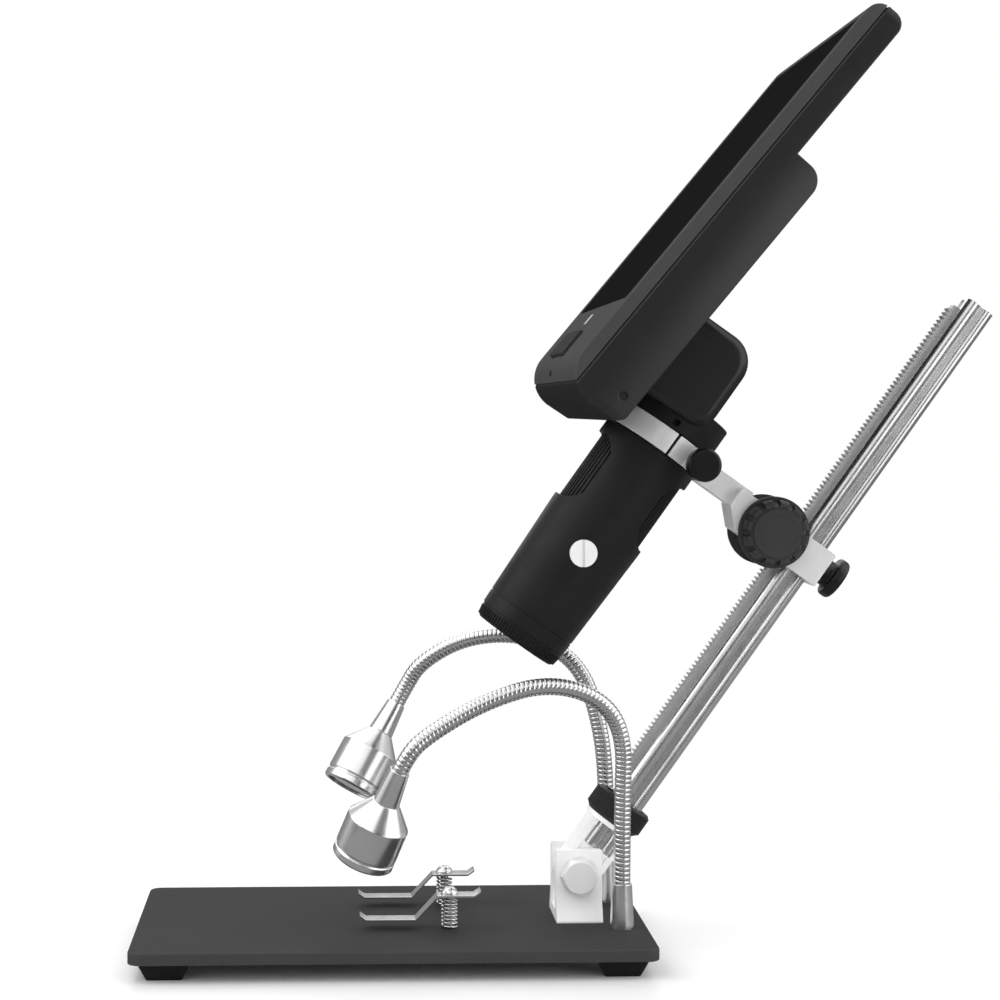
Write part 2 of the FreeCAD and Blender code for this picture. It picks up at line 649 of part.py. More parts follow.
def drive_parts():
    """Pinion shaft, its two bushes and the two scalloped focus knobs."""
    x = BOLT_X - PINION_REACH
    z = upright(PINION_HEIGHT)
    reach = CARRIAGE_HALF + KNOB_GAP + KNOB_SHAFT_BITE
    shaft = cylinder(SHAFT_R, (x, -reach, z), (0, 1, 0), 2 * reach).fuse(pinion())
    shaft = shaft.removeSplitter()
    bushes = []
    for side in (-1, 1):
        start = (x, side * CARRIAGE_HALF, z)
        ring = cylinder(BUSH_R, start, (0, -side, 0), BUSH_LENGTH)
        bushes.append(ring.cut(cylinder(SHAFT_R + SHAFT_CLEARANCE, start, (0, -side, 0),
                                        BUSH_LENGTH)))
    knobs = []
    for side in (-1, 1):
        y = side * (CARRIAGE_HALF + KNOB_GAP)
        rim = cylinder(KNOB_R, (x, y, z), (0, side, 0), KNOB_RIM_WIDTH)
        grip = Part.makeCone(KNOB_GRIP_R, KNOB_GRIP_R - 0.9, KNOB_GRIP_WIDTH,
                             Vector(x, y + side * KNOB_RIM_WIDTH, z), Vector(0, side, 0))
        face = Part.makeCone(KNOB_FACE_R, KNOB_FACE_R - 0.5, KNOB_FACE_PROUD,
                             Vector(x, y + side * (KNOB_RIM_WIDTH + KNOB_GRIP_WIDTH), z),
                             Vector(0, side, 0))
        notches = []
        for i in range(KNOB_NOTCHES):
            angle = 2 * math.pi * (i + 0.5) / KNOB_NOTCHES
            far = KNOB_GRIP_R + KNOB_NOTCH_R - KNOB_NOTCH_DEPTH
            notches.append(cylinder(KNOB_NOTCH_R, (x + far * math.cos(angle),
                                                   y + side * KNOB_RIM_WIDTH,
                                                   z + far * math.sin(angle)),
                                    (0, side, 0), KNOB_GRIP_WIDTH + KNOB_FACE_PROUD))
        bite = cylinder(SHAFT_R, (x, y, z), (0, side, 0), KNOB_SHAFT_BITE)
        knob = rim.fuse(cut_all(grip, notches)).fuse(face).removeSplitter()
        knobs.append(knob.cut(bite))
    return shaft, bushes, knobs


def carriage_parts():
    """Carriage block, the arm, the split clamp ring and the two thumb screws."""
    z0 = upright(CARRIAGE_BOTTOM)
    z1 = upright(CARRIAGE_TOP)
    half = CARRIAGE_HALF
    outline = [(-CARRIAGE_BACK, CARRIAGE_BOTTOM), (CARRIAGE_FRONT - CARRIAGE_SLANT,
                                                   CARRIAGE_BOTTOM),
               (CARRIAGE_FRONT, CARRIAGE_BOTTOM + CARRIAGE_SLANT), (CARRIAGE_FRONT, CARRIAGE_TOP),
               (-CARRIAGE_BACK, CARRIAGE_TOP)]
    wire = [Vector(BOLT_X - reach, -half, upright(level)) for reach, level in outline]
    block = face_of(wire).extrude(Vector(0, 2 * half, 0))
    block = rounded(block, 1.0, lambda e: runs_along(e, UP) and e.Length > 5)
    gap = SLIDE_CLEARANCE
    window = box(BOLT_X - RACK_TIP - gap, BOLT_X + COLUMN_BACK + gap, -COLUMN_HALF - gap,
                 COLUMN_HALF + gap, z0, z1)
    x = BOLT_X - PINION_REACH
    z = upright(PINION_HEIGHT)
    pocket = cylinder(PINION_R + GEAR_MODULE + 0.6, (x, -PINION_HALF_WIDTH - 0.4, z), (0, 1, 0),
                      2 * PINION_HALF_WIDTH + 0.8)
    bush_bore = cylinder(BUSH_R, (x, -half, z), (0, 1, 0), 2 * half)
    middle = box(x - BUSH_R, x + BUSH_R, -half + BUSH_LENGTH, half - BUSH_LENGTH, z - BUSH_R,
                 z + BUSH_R)
    lock_z = upright(LOCK_HEIGHT)
    lock_hole = cylinder(LOCK_SCREW_R + BOLT_CLEARANCE, (BOLT_X, 0, lock_z), (1, 0, 0),
                         CARRIAGE_BACK + 1)
    arm_slot = box(BOLT_X - CARRIAGE_FRONT, BOLT_X - CARRIAGE_FRONT + ARM_BITE, -ARM_HALF, ARM_HALF,
                   upright(ARM_BOTTOM), z1)
    block = cut_all(block, [window, pocket, bush_bore, middle, lock_hole, arm_slot])

    ring_z0 = upright(RING_BOTTOM)
    ring_h = RING_TOP - RING_BOTTOM
    ring = cylinder(RING_R, (BARREL_X, 0, ring_z0), (0, 0, 1), ring_h)
    boss_x = BARREL_X + RING_BOSS_BEHIND
    boss = box(boss_x - RING_BOSS_HALF, boss_x + RING_BOSS_HALF, -RING_BOSS_FACE, RING_BOSS_BACK,
               ring_z0, ring_z0 + ring_h)
    boss = rounded(boss, 1.2, lambda e: runs_along(e, UP))
    bore = cylinder(WAIST_R + RING_CLEARANCE, (BARREL_X, 0, ring_z0), (0, 0, 1), ring_h)
    slot_x = BARREL_X + RING_SLOT_BEHIND
    slot = box(slot_x - RING_SLOT / 2, slot_x + RING_SLOT / 2, -RING_R - 1, -WAIST_R + 2.0,
               ring_z0, ring_z0 + ring_h)
    screw_z = ring_z0 + ring_h / 2
    screw_hole = cylinder(RING_SCREW_R + BOLT_CLEARANCE, (boss_x, -RING_BOSS_FACE, screw_z),
                          (0, 1, 0), RING_BOSS_FACE - RING_SCREW_TIP + 0.4)
    arm = box(BARREL_X + BARREL_R1 + RUNNING_GAP, BOLT_X - CARRIAGE_FRONT + ARM_BITE, -ARM_HALF,
              ARM_HALF, upright(ARM_BOTTOM), upright(ARM_TOP))
    arm = arm.fuse(ring).fuse(boss).removeSplitter()
    arm = cut_all(arm, [bore, slot, screw_hole])
    return block, arm


def lock_screw():
    """Thumb screw at the back of the carriage that bears on the column."""
    z = upright(LOCK_HEIGHT)
    back = BOLT_X + COLUMN_BACK + SLIDE_CLEARANCE
    neck_start = BOLT_X + CARRIAGE_BACK + 0.3
    head_start = BOLT_X + LOCK_FACE - LOCK_HEAD_H
    screw = cylinder(LOCK_SCREW_R, (back, 0, z), (1, 0, 0), neck_start - back + 1.0)
    stem = cylinder(LOCK_STEM_R, (neck_start, 0, z), (1, 0, 0), head_start - neck_start)
    head = cylinder(LOCK_HEAD_R, (head_start, 0, z), (1, 0, 0), LOCK_HEAD_H)
    head = head.makeChamfer(0.6, [e for e in head.Edges if e.Curve.TypeId == "Part::GeomCircle"])
    notches = []
    for i in range(LOCK_NOTCHES):
        angle = 2 * math.pi * i / LOCK_NOTCHES
        notches.append(cylinder(0.9, (head_start, (LOCK_HEAD_R + 0.4) * math.cos(angle),
                                      z + (LOCK_HEAD_R + 0.4) * math.sin(angle)), (1, 0, 0),
                                LOCK_HEAD_H))
    return screw.fuse(stem).fuse(cut_all(head, notches)).removeSplitter()


def ring_screw():
    """Thumb screw that tightens the clamp ring."""
    x = BARREL_X + RING_BOSS_BEHIND
    z = upright((RING_BOTTOM + RING_TOP) / 2)
    face = -RING_BOSS_FACE - 0.3
    stem = cylinder(RING_SCREW_R, (x, face, z), (0, 1, 0), -face - RING_SCREW_TIP)
    neck = cylinder(RING_KNOB_NECK, (x, face, z), (0, -1, 0), RING_KNOB_NECK_H)
    knob = cylinder(RING_KNOB_R, (x, face - RING_KNOB_NECK_H, z), (0, -1, 0), RING_KNOB_H)
    knob = knob.makeChamfer(0.7, [e for e in knob.Edges if e.Curve.TypeId == "Part::GeomCircle"])
    return stem.fuse(neck).fuse(knob).removeSplitter()


def grip_prism(direction, corner, inset):
    """Rounded block that bounds one grip panel on the side that direction points to."""
    inner = BARREL_X + direction * 6.0
    outer = BARREL_X + direction * 30.0
    prism = box(min(inner, outer), max(inner, outer), -GRIP_HALF + inset, GRIP_HALF - inset,
                upright(GRIP_BOTTOM) + inset, upright(GRIP_TOP) - inset)
    return rounded(prism, corner, lambda e: runs_along(e, Vector(1, 0, 0)))


def barrel_parts():
    """Barrel shell with two recessed grips, their ribbed pads, lens ring and slotted plug."""
    z = upright
    shell = turned([(BARREL_BORE_R, z(LENS_RING_TOP)), (BARREL_R0, z(LENS_RING_TOP)),
                    (BARREL_R1, z(BARREL_FLARE_TOP)), (BARREL_R1, z(WAIST_BOTTOM) - 0.6),
                    (BARREL_R1 - 0.6, z(WAIST_BOTTOM)), (WAIST_R, z(WAIST_BOTTOM)),
                    (WAIST_R, z(WAIST_TOP)), (BARREL_BORE_R, z(WAIST_TOP))], BARREL_X)
    parting = cylinder(BARREL_R1 + 1, (BARREL_X, 0, z(PARTING_HEIGHT)), (0, 0, 1), PARTING_WIDTH)
    flare = (BARREL_R1 - BARREL_R0) / (BARREL_FLARE_TOP - LENS_RING_TOP)
    parting_r = BARREL_R0 + (PARTING_HEIGHT - LENS_RING_TOP) * flare - PARTING_DEPTH
    shell = shell.cut(parting.cut(cylinder(parting_r, (BARREL_X, 0, z(PARTING_HEIGHT)), (0, 0, 1),
                                           PARTING_WIDTH)))
    pads = []
    for direction in (-1, 1):
        annulus = cylinder(BARREL_R1 + 2, (BARREL_X, 0, z(GRIP_BOTTOM)), (0, 0, 1),
                           GRIP_TOP - GRIP_BOTTOM)
        core = cylinder(GRIP_FLOOR_R, (BARREL_X, 0, z(GRIP_BOTTOM)), (0, 0, 1),
                        GRIP_TOP - GRIP_BOTTOM)
        pocket = annulus.cut(core).common(grip_prism(direction, GRIP_CORNER, 0))
        shell = shell.cut(pocket)
        ribs = ribbed_outline(BARREL_X, GRIP_PAD_R + GRIP_RIB_PROUD, GRIP_PAD_R, GRIP_RIB_COUNT,
                              z(GRIP_BOTTOM))
        ribs = ribs.extrude(Vector(0, 0, GRIP_TOP - GRIP_BOTTOM)).cut(core)
        pads.append(ribs.common(grip_prism(direction, GRIP_CORNER - PAD_GAP, PAD_GAP)))
    ring = turned([(LENS_MOUTH_R, z(LENS_RING_BOTTOM) + 2.2), (LENS_MOUTH_R + 2.4,
                                                              z(LENS_RING_BOTTOM)),
                   (LENS_RING_R0 - 0.8, z(LENS_RING_BOTTOM)), (LENS_RING_R0,
                                                              z(LENS_RING_BOTTOM) + 0.8),
                   (LENS_RING_R1, z(LENS_RING_TOP)), (LENS_MOUTH_R, z(LENS_RING_TOP))], BARREL_X)
    notches = []
    for i in range(LENS_RIBS):
        turn = box(LENS_RING_R0 - 0.35, LENS_RING_R1 + 2, -0.35, 0.35,
                   z(LENS_RING_BOTTOM), z(LENS_RING_TOP) - 1.2)
        turn.translate(Vector(BARREL_X, 0, 0))
        turn.rotate(Vector(BARREL_X, 0, 0), UP, 360.0 * i / LENS_RIBS)
        notches.append(turn)
    ring = cut_all(ring, notches)
    plug_z = z(PLUG_HEIGHT)
    seat = BARREL_R1 - PLUG_DEPTH
    well = cylinder(PLUG_R + 0.1, (BARREL_X, -seat, plug_z), (0, -1, 0), PLUG_DEPTH + 4)
    plug = cylinder(PLUG_R, (BARREL_X, -seat, plug_z), (0, -1, 0), PLUG_DEPTH + PLUG_PROUD)
    slot = box(BARREL_X - PLUG_SLOT / 2, BARREL_X + PLUG_SLOT / 2, -BARREL_R1 - PLUG_PROUD - 1,
               -BARREL_R1 + 0.8, plug_z - PLUG_R - 1, plug_z + PLUG_R + 1)
    plug = plug.cut(slot)
    shell = shell.cut(well)
    return shell, pads, ring, plug


def optics_parts():
    """Objective tube with two lenses, ring-light board with its LEDs, and the sensor board."""
    z0 = upright(LENS_RING_TOP) + LIGHT_BOARD_H
    tube = turned([(LENS_TUBE_R - LENS_TUBE_WALL, z0), (BARREL_BORE_R, z0),
                   (BARREL_BORE_R, z0 + 3.0), (LENS_TUBE_R, z0 + 3.0),
                   (LENS_TUBE_R, z0 + LENS_TUBE_LENGTH), (LENS_TUBE_R - LENS_TUBE_WALL,
                                                          z0 + LENS_TUBE_LENGTH)], BARREL_X)
    inner = LENS_TUBE_R - LENS_TUBE_WALL
    lenses = []
    for level in (z0 + 2.0, z0 + LENS_TUBE_LENGTH - 8.0):
        disc = cylinder(inner, (BARREL_X, 0, level), (0, 0, 1), LENS_THICKNESS)
        ball = Part.makeSphere(24.0, Vector(BARREL_X, 0, level + LENS_THICKNESS - 24.0 + 0.2))
        lenses.append(disc.common(ball))
    board_z = upright(LENS_RING_TOP)
    board = cylinder(LIGHT_BOARD_R, (BARREL_X, 0, board_z), (0, 0, 1), LIGHT_BOARD_H)
    board = board.cut(cylinder(inner, (BARREL_X, 0, board_z), (0, 0, 1), LIGHT_BOARD_H))
    leds = []
    for i in range(LED_COUNT):
        angle = 2 * math.pi * i / LED_COUNT
        radius = (LENS_MOUTH_R + inner) / 2
        leds.append(cylinder(LED_R, (BARREL_X + radius * math.cos(angle),
                                     radius * math.sin(angle), board_z), (0, 0, -1), 1.2))
    sensor_z = z0 + LENS_TUBE_LENGTH
    holder = turned([(LENS_TUBE_R - 4, sensor_z), (BARREL_BORE_R, sensor_z),
                     (BARREL_BORE_R, sensor_z + SENSOR_HOLDER_H),
                     (LENS_TUBE_R - 4, sensor_z + SENSOR_HOLDER_H)], BARREL_X)
    pcb_z = sensor_z + SENSOR_HOLDER_H
    sensor = box(BARREL_X - SENSOR_HALF, BARREL_X + SENSOR_HALF, -SENSOR_HALF, SENSOR_HALF, pcb_z,
                 pcb_z + SENSOR_BOARD_H)
    chip = box(BARREL_X - SENSOR_CHIP_HALF, BARREL_X + SENSOR_CHIP_HALF, -SENSOR_CHIP_HALF,
               SENSOR_CHIP_HALF, pcb_z - 1.2, pcb_z)
    return tube, lenses, board, leds, holder, sensor.fuse(chip)


def placed_display(shape):
    """Lean a shape drawn in the display's own u, v frame and put it on the upright head."""
    shape.rotate(Vector(0, 0, 0), ACROSS, DISPLAY_LEAN)
    shape.translate(Vector(BARREL_X - DISPLAY_FOOT_AHEAD, 0, upright(DISPLAY_FOOT_HEIGHT)))
    return shape


def display_body(inset):
    """The display head's outside form, or the same form drawn in by an inset."""
    half = DISPLAY_WIDTH / 2 - inset
    slab = SLAB_DEPTH - inset
    hump = HUMP_DEPTH - inset
    foot = SHELL_FOOT - inset
    top = SHELL_TOP - inset
    round_r = SHELL_FOOT - inset
    corner = SLAB_CORNER - inset / 2

    def at(v, u):
        return Vector(v, -half, u)
    bow = math.sqrt(0.5)
    edges = [Part.LineSegment(at(inset, 0), at(inset, FACE_TOP)),
             Part.Arc(at(inset, FACE_TOP),
                      at(inset + (top - FACE_TOP) * (1 - bow), FACE_TOP + (top - FACE_TOP) * bow),
                      at(inset + top - FACE_TOP, top)),
             Part.LineSegment(at(inset + top - FACE_TOP, top), at(slab - corner, top)),
             Part.Arc(at(slab - corner, top),
                      at(slab - corner * (1 - bow), top - corner * (1 - bow)),
                      at(slab, top - corner)),
             Part.LineSegment(at(slab, top - corner), at(slab, HUMP_TOP - inset)),
             Part.LineSegment(at(slab, HUMP_TOP - inset), at(hump - HUMP_STEP_R,
                                                            HUMP_TOP - inset)),
             Part.Arc(at(hump - HUMP_STEP_R, HUMP_TOP - inset),
                      at(hump - HUMP_STEP_R * (1 - bow), HUMP_TOP - inset - HUMP_STEP_R * (1 - bow)),
                      at(hump, HUMP_TOP - inset - HUMP_STEP_R)),
             Part.LineSegment(at(hump, HUMP_TOP - inset - HUMP_STEP_R), at(hump, -foot + 4.0)),
             Part.LineSegment(at(hump, -foot + 4.0), at(hump - 2.5, -foot + 1.2)),
             Part.LineSegment(at(hump - 2.5, -foot + 1.2), at(inset + round_r, -foot)),
             Part.Arc(at(inset + round_r, -foot),
                      at(inset + round_r * (1 - bow), -round_r * bow),
                      at(inset, 0))]
    wire = Part.Wire([edge.toShape() for edge in edges])
    return Part.Face(wire).extrude(Vector(0, 2 * half, 0))


def display_mask(inset):
    """Block with rounded corners that gives the display head its outline from the front."""
    half = DISPLAY_WIDTH / 2 - inset
    margin = DISPLAY_CORNER / 2
    block = box(-margin, HUMP_DEPTH + margin, -half, half, inset - SHELL_FOOT - margin,
                SHELL_TOP + margin - inset)
    return rounded(block, DISPLAY_CORNER, lambda e: runs_along(e, Vector(1, 0, 0)))


def display_parts():
    """Rear shell, front bezel, glass, panel, boards, battery, keys and small fittings."""
    half = DISPLAY_WIDTH / 2
    outside = display_body(0)
    cavity = display_body(SHELL_WALL)
    outside = outside.common(display_mask(0))
    front_zone = box(-5, BEZEL_DEPTH, -half - 5, half + 5, -SHELL_FOOT - 5, SHELL_TOP + 5)
    seam = box(BEZEL_DEPTH, BEZEL_DEPTH + SEAM_WIDTH, -half - 1, half + 1, -SHELL_FOOT - 1,
               SHELL_TOP + 1).cut(display_body(SEAM_DEPTH).common(display_mask(SEAM_DEPTH)))
    rear = outside.cut(front_zone).cut(cavity).cut(seam)
    bezel = outside.common(front_zone)
    glass_half = half - GLASS_SIDE_MARGIN
    pocket_back = GLASS_SUNK + GLASS_THICKNESS
    glass = box(GLASS_SUNK, pocket_back, -glass_half, glass_half, GLASS_BOTTOM, GLASS_TOP)
    glass = rounded(glass, GLASS_CORNER, lambda e: runs_along(e, Vector(1, 0, 0)))
    glass_well = box(-1, pocket_back, -glass_half - 0.15, glass_half + 0.15, GLASS_BOTTOM - 0.15,
                     GLASS_TOP + 0.15)
    glass_well = rounded(glass_well, GLASS_CORNER + 0.15, lambda e: runs_along(e, Vector(1, 0, 0)))
    panel_half = glass_half - PANEL_MARGIN
    view_well = box(pocket_back, BEZEL_DEPTH + 1, -panel_half, panel_half,
                    GLASS_BOTTOM + PANEL_MARGIN, GLASS_TOP - PANEL_MARGIN)
    bezel = bezel.cut(glass_well).cut(view_well)
    panel = box(pocket_back, pocket_back + PANEL_THICKNESS, -panel_half + 0.2, panel_half - 0.2,
                GLASS_BOTTOM + PANEL_MARGIN + 0.2, GLASS_TOP - PANEL_MARGIN - 0.2)

    keys = []
    flange_back = BEZEL_DEPTH + KEY_FLANGE_GAP + KEY_FLANGE
    key_width = (KEYPAD_WIDTH - (KEY_COUNT - 1) * KEY_GAP) / KEY_COUNT
    for i in range(KEY_COUNT):
        y0 = KEYPAD_Y - KEYPAD_WIDTH / 2 + i * (key_width + KEY_GAP)
        hole = box(-1, BEZEL_DEPTH + 1, y0 - 0.15, y0 + key_width + 0.15, KEY_BOTTOM - 0.15,
                   KEY_TOP + 0.15)
        key = box(-KEY_PROUD, flange_back, y0, y0 + key_width, KEY_BOTTOM, KEY_TOP)
        front = [e for e in key.Edges if abs(e.BoundBox.XMax + KEY_PROUD) < 1e-6]
        flange = box(flange_back - KEY_FLANGE, flange_back, y0, y0 + key_width,
                     KEY_BOTTOM - KEY_FLANGE_LIP, KEY_TOP + KEY_FLANGE_LIP)
        key = key.makeFillet(0.7, front).fuse(flange).removeSplitter()
        bezel = bezel.cut(hole)
        keys.append(key)
    mark_well = box(-1, MARK_THICKNESS, KEYPAD_Y - MARK_HALF, KEYPAD_Y + MARK_HALF, MARK_BOTTOM,
                    MARK_TOP)
    mark = box(0, MARK_THICKNESS, KEYPAD_Y - MARK_HALF, KEYPAD_Y + MARK_HALF, MARK_BOTTOM,
               MARK_TOP)
    bezel = bezel.cut(mark_well)
    bezel = bezel.cut(box(-1, CARD_SLOT_DEPTH, CARD_SLOT_Y - CARD_SLOT_WIDTH / 2,
                          CARD_SLOT_Y + CARD_SLOT_WIDTH / 2, CARD_SLOT_LOW, CARD_SLOT_HIGH))

    board_v = BEZEL_DEPTH + 4.2
    board_half = half - BOARD_SIDE_GAP
    board = box(board_v, board_v + BOARD_THICKNESS, -board_half, board_half, BOARD_BOTTOM, BOARD_TOP)
    stems = []
    for i in range(KEY_COUNT):
        y = KEYPAD_Y - KEYPAD_WIDTH / 2 + (i + 0.5) * key_width + i * KEY_GAP
        stems.append(box(flange_back + KEY_TRAVEL + 0.1, board_v, y - 3, y + 3, 2.0, 8.0))
    battery_v = board_v + BOARD_THICKNESS
    battery = box(battery_v, battery_v + BATTERY_THICKNESS, -BATTERY_WIDTH / 2, BATTERY_WIDTH / 2,
                  BATTERY_BOTTOM, BATTERY_BOTTOM + BATTERY_HEIGHT)

    screws = []
    shell_back = HUMP_DEPTH - SHELL_WALL
    board_back = board_v + BOARD_THICKNESS
    for y in (POST_SIDE_GAP - half, half - POST_SIDE_GAP):
        for u in (POST_LOW, POST_HIGH):
            post = cylinder(POST_R, (board_back, y, u), (1, 0, 0), shell_back - board_back + 0.5)
            hole = cylinder(SHELL_SCREW_R, (board_v - 1.0, y, u), (1, 0, 0), HUMP_DEPTH)
            well = cylinder(SHELL_SCREW_HEAD_R + 0.2, (HUMP_DEPTH - SHELL_SCREW_SUNK, y, u),
                            (1, 0, 0), SHELL_SCREW_SUNK + 1)
            rear = rear.fuse(post).cut(hole).cut(well)
            board = board.cut(hole)
            head_v = HUMP_DEPTH - SHELL_SCREW_SUNK
            head = cylinder(SHELL_SCREW_HEAD_R, (head_v, y, u), (1, 0, 0), SHELL_SCREW_HEAD_H)
            stem = cylinder(SHELL_SCREW_R, (board_v - 0.5, y, u), (1, 0, 0), head_v - board_v + 0.5)
            screws.append(head.fuse(stem).removeSplitter())
    rear = rear.removeSplitter()
    for side in (-1, 1):
        rear = rear.cut(cylinder(CORNER_HOLE_R, (CORNER_HOLE_V, side * (half + 1), CORNER_HOLE_U),
                                 (0, -side, 0), CORNER_HOLE_DEPTH + 1))
    jack_half = JACK_BODY / 2
    jack_v = board_back + jack_half
    inner_wall = half - SHELL_WALL
    jack = box(board_back, board_back + JACK_BODY, inner_wall - JACK_LENGTH, inner_wall,
               JACK_U - jack_half, JACK_U + jack_half)
    jack = jack.fuse(cylinder(JACK_R + 1.4, (jack_v, inner_wall, JACK_U), (0, 1, 0),
                              SHELL_WALL - 0.3))
    jack = jack.cut(cylinder(JACK_R, (jack_v, inner_wall - JACK_DEPTH + SHELL_WALL, JACK_U),
                             (0, 1, 0), JACK_DEPTH)).removeSplitter()
    rear = rear.cut(cylinder(JACK_R + 1.5, (jack_v, inner_wall - 0.1, JACK_U), (0, 1, 0),
                             SHELL_WALL + 1))
    return {"display_rear_shell": rear, "display_bezel": bezel, "screen_glass": glass,
            "screen_panel": panel, "indicator_window": mark, "main_board": board,
            "battery": battery, "key_switches": stems, "shell_screws": screws,
            "power_jack": jack}, keys, outside


def arc_path(points):
    """A wire of straight runs joined by tangent arcs, each as large as its runs allow."""
    edges = []
    radii = []
    last = points[0]
    for i in range(1, len(points) - 1):
        before = points[i] - points[i - 1]
        after = points[i + 1] - points[i]
        shorter = min(before.Length, after.Length)
        turn = before.getAngle(after)
        tangent = 0.45 * shorter
        radii.append(tangent / math.tan(turn / 2))
        into = points[i] - Vector(before).normalize() * tangent
        out = points[i] + Vector(after).normalize() * tangent
        bisector = (Vector(after).normalize() - Vector(before).normalize()).normalize()
        depth = radii[-1] / math.cos(turn / 2) - radii[-1]
        middle = points[i] + bisector * depth
        edges.append(Part.LineSegment(last, into).toShape())
        edges.append(Part.Arc(into, middle, out).toShape())
        last = out
    edges.append(Part.LineSegment(last, points[-1]).toShape())
    return Part.Wire(edges), radii


def gooseneck_points(route, side):
    """Centre line of one gooseneck, from the plate up and over to its lamp, splaying outwards."""
    x_end, z_end = route[-1]
    points = [Vector(NECK_BASE_X, side * NECK_BASE_Y, PLATE_TOP + 1.0)]
    total = len(route)
    for i, (x, z) in enumerate(route):
        share = max(0.0, (i - 1) / (total - 2))
        y = side * (NECK_BASE_Y + (LAMP_Y - NECK_BASE_Y) * share)
        points.append(Vector(x, y, z))
    return points


def ribbed_tube(points):
    """Gooseneck conduit: a bored tube whose ribs are a ruled loft through circles on the path."""
    wire, radii = arc_path(points)
    print("gooseneck radii", [round(r, 1) for r in radii], "length", round(wire.Length, 1))
    count = int((wire.Length - 4.0) / NECK_RIB_PITCH)
    crest = NECK_TUBE_R
    root = NECK_TUBE_R - NECK_RIB_DEPTH
    stations = [(0.0, crest), (2.0, crest)]
    start = (wire.Length - count * NECK_RIB_PITCH) / 2
    for i in range(count):
        at = start + i * NECK_RIB_PITCH
        stations += [(at + 0.15 * NECK_RIB_PITCH, root), (at + 0.30 * NECK_RIB_PITCH, crest),
                     (at + 0.85 * NECK_RIB_PITCH, crest), (at + NECK_RIB_PITCH, root)]
    stations.append((wire.Length, crest))
    side = Vector(0, 1, 0)
    outer = []
    inner = []
    for distance, radius in stations:
        point, tangent = point_on(wire, distance)
        axis_x = side.cross(tangent).cross(tangent).normalize()
        for rings, size in ((outer, radius), (inner, NECK_BORE_R)):
            circle = Part.Circle(point, tangent, size)
            circle.XAxis = axis_x
            rings.append(Part.Wire(circle.toShape()))
    skin = Part.makeLoft(outer, True, True)
    bore = Part.makeLoft(inner[::4] + [inner[-1]], True, True)
    return skin.cut(bore), wire


def point_on(wire, distance):
    """Point and unit tangent at a distance along a wire."""
    left = distance
    for edge in wire.OrderedEdges:
        if left <= edge.Length + 1e-9 or edge is wire.OrderedEdges[-1]:
            share = edge.getParameterByLength(min(left, edge.Length))
            return edge.valueAt(share), edge.tangentAt(share).normalize()
        left -= edge.Length
    return wire.OrderedEdges[-1].valueAt(0), UP


def lamp_parts(route_end, lamp_end, side):
    """Ferrule, housing, rim lens and LED board of one lamp, on the line of its head."""
    top = Vector(route_end[0], side * LAMP_Y, route_end[1])
    end = Vector(lamp_end[0], side * LAMP_Y, lamp_end[1])
    axis = (end - top).normalize()

    def shaped(profile, origin):
        points = [Vector(radius, 0, along) for radius, along in profile]
        solid = face_of(points).revolve(Vector(0, 0, 0), UP, 360)
        solid.Placement = FreeCAD.Placement(origin, FreeCAD.Rotation(UP, axis))
        return solid
    bore = NECK_TUBE_R + FERRULE_BORE_GAP
    ferrule_start = top
    ferrule = shaped([(bore, 0), (LAMP_FERRULE_R0, 0), (LAMP_FERRULE_R1, LAMP_FERRULE_H),
                      (0, LAMP_FERRULE_H), (0, NECK_BITE), (bore, NECK_BITE)], ferrule_start)
    head_start = ferrule_start + axis * LAMP_FERRULE_H
    length = LAMP_CONE + LAMP_BODY
    inner = LAMP_R - LAMP_WALL
    floor = LAMP_CONE + 3.0
    housing = shaped([(0, 0), (LAMP_TOP_R, 0), (LAMP_R - 0.8, LAMP_CONE - 0.4),
                      (LAMP_R, LAMP_CONE + 0.6), (LAMP_R, length - 4.4),
                      (LAMP_R - LAMP_GROOVE, length - 4.2), (LAMP_R - LAMP_GROOVE, length - 3.4),
                      (LAMP_R, length - 3.2), (LAMP_R, length - 0.6), (LAMP_R - 0.6, length),
                      (inner, length), (inner, floor), (0, floor)], head_start)
    board = shaped([(0, floor), (inner, floor), (inner, floor + LAMP_BOARD_H),
                    (0, floor + LAMP_BOARD_H)], head_start)
    holder_top = length - LAMP_LENS_SUNK - LAMP_LENS_H
    holder = shaped([(inner - 3.0, floor + LAMP_BOARD_H), (inner, floor + LAMP_BOARD_H),
                     (inner, holder_top), (inner - 1.2, holder_top)], head_start)
    lens = shaped([(0, holder_top), (inner, holder_top), (inner, holder_top + LAMP_LENS_H * 0.6),
                   (inner - 2.5, holder_top + LAMP_LENS_H), (0, holder_top + LAMP_LENS_H)],
                  head_start)
    return ferrule, housing, board, holder, lens


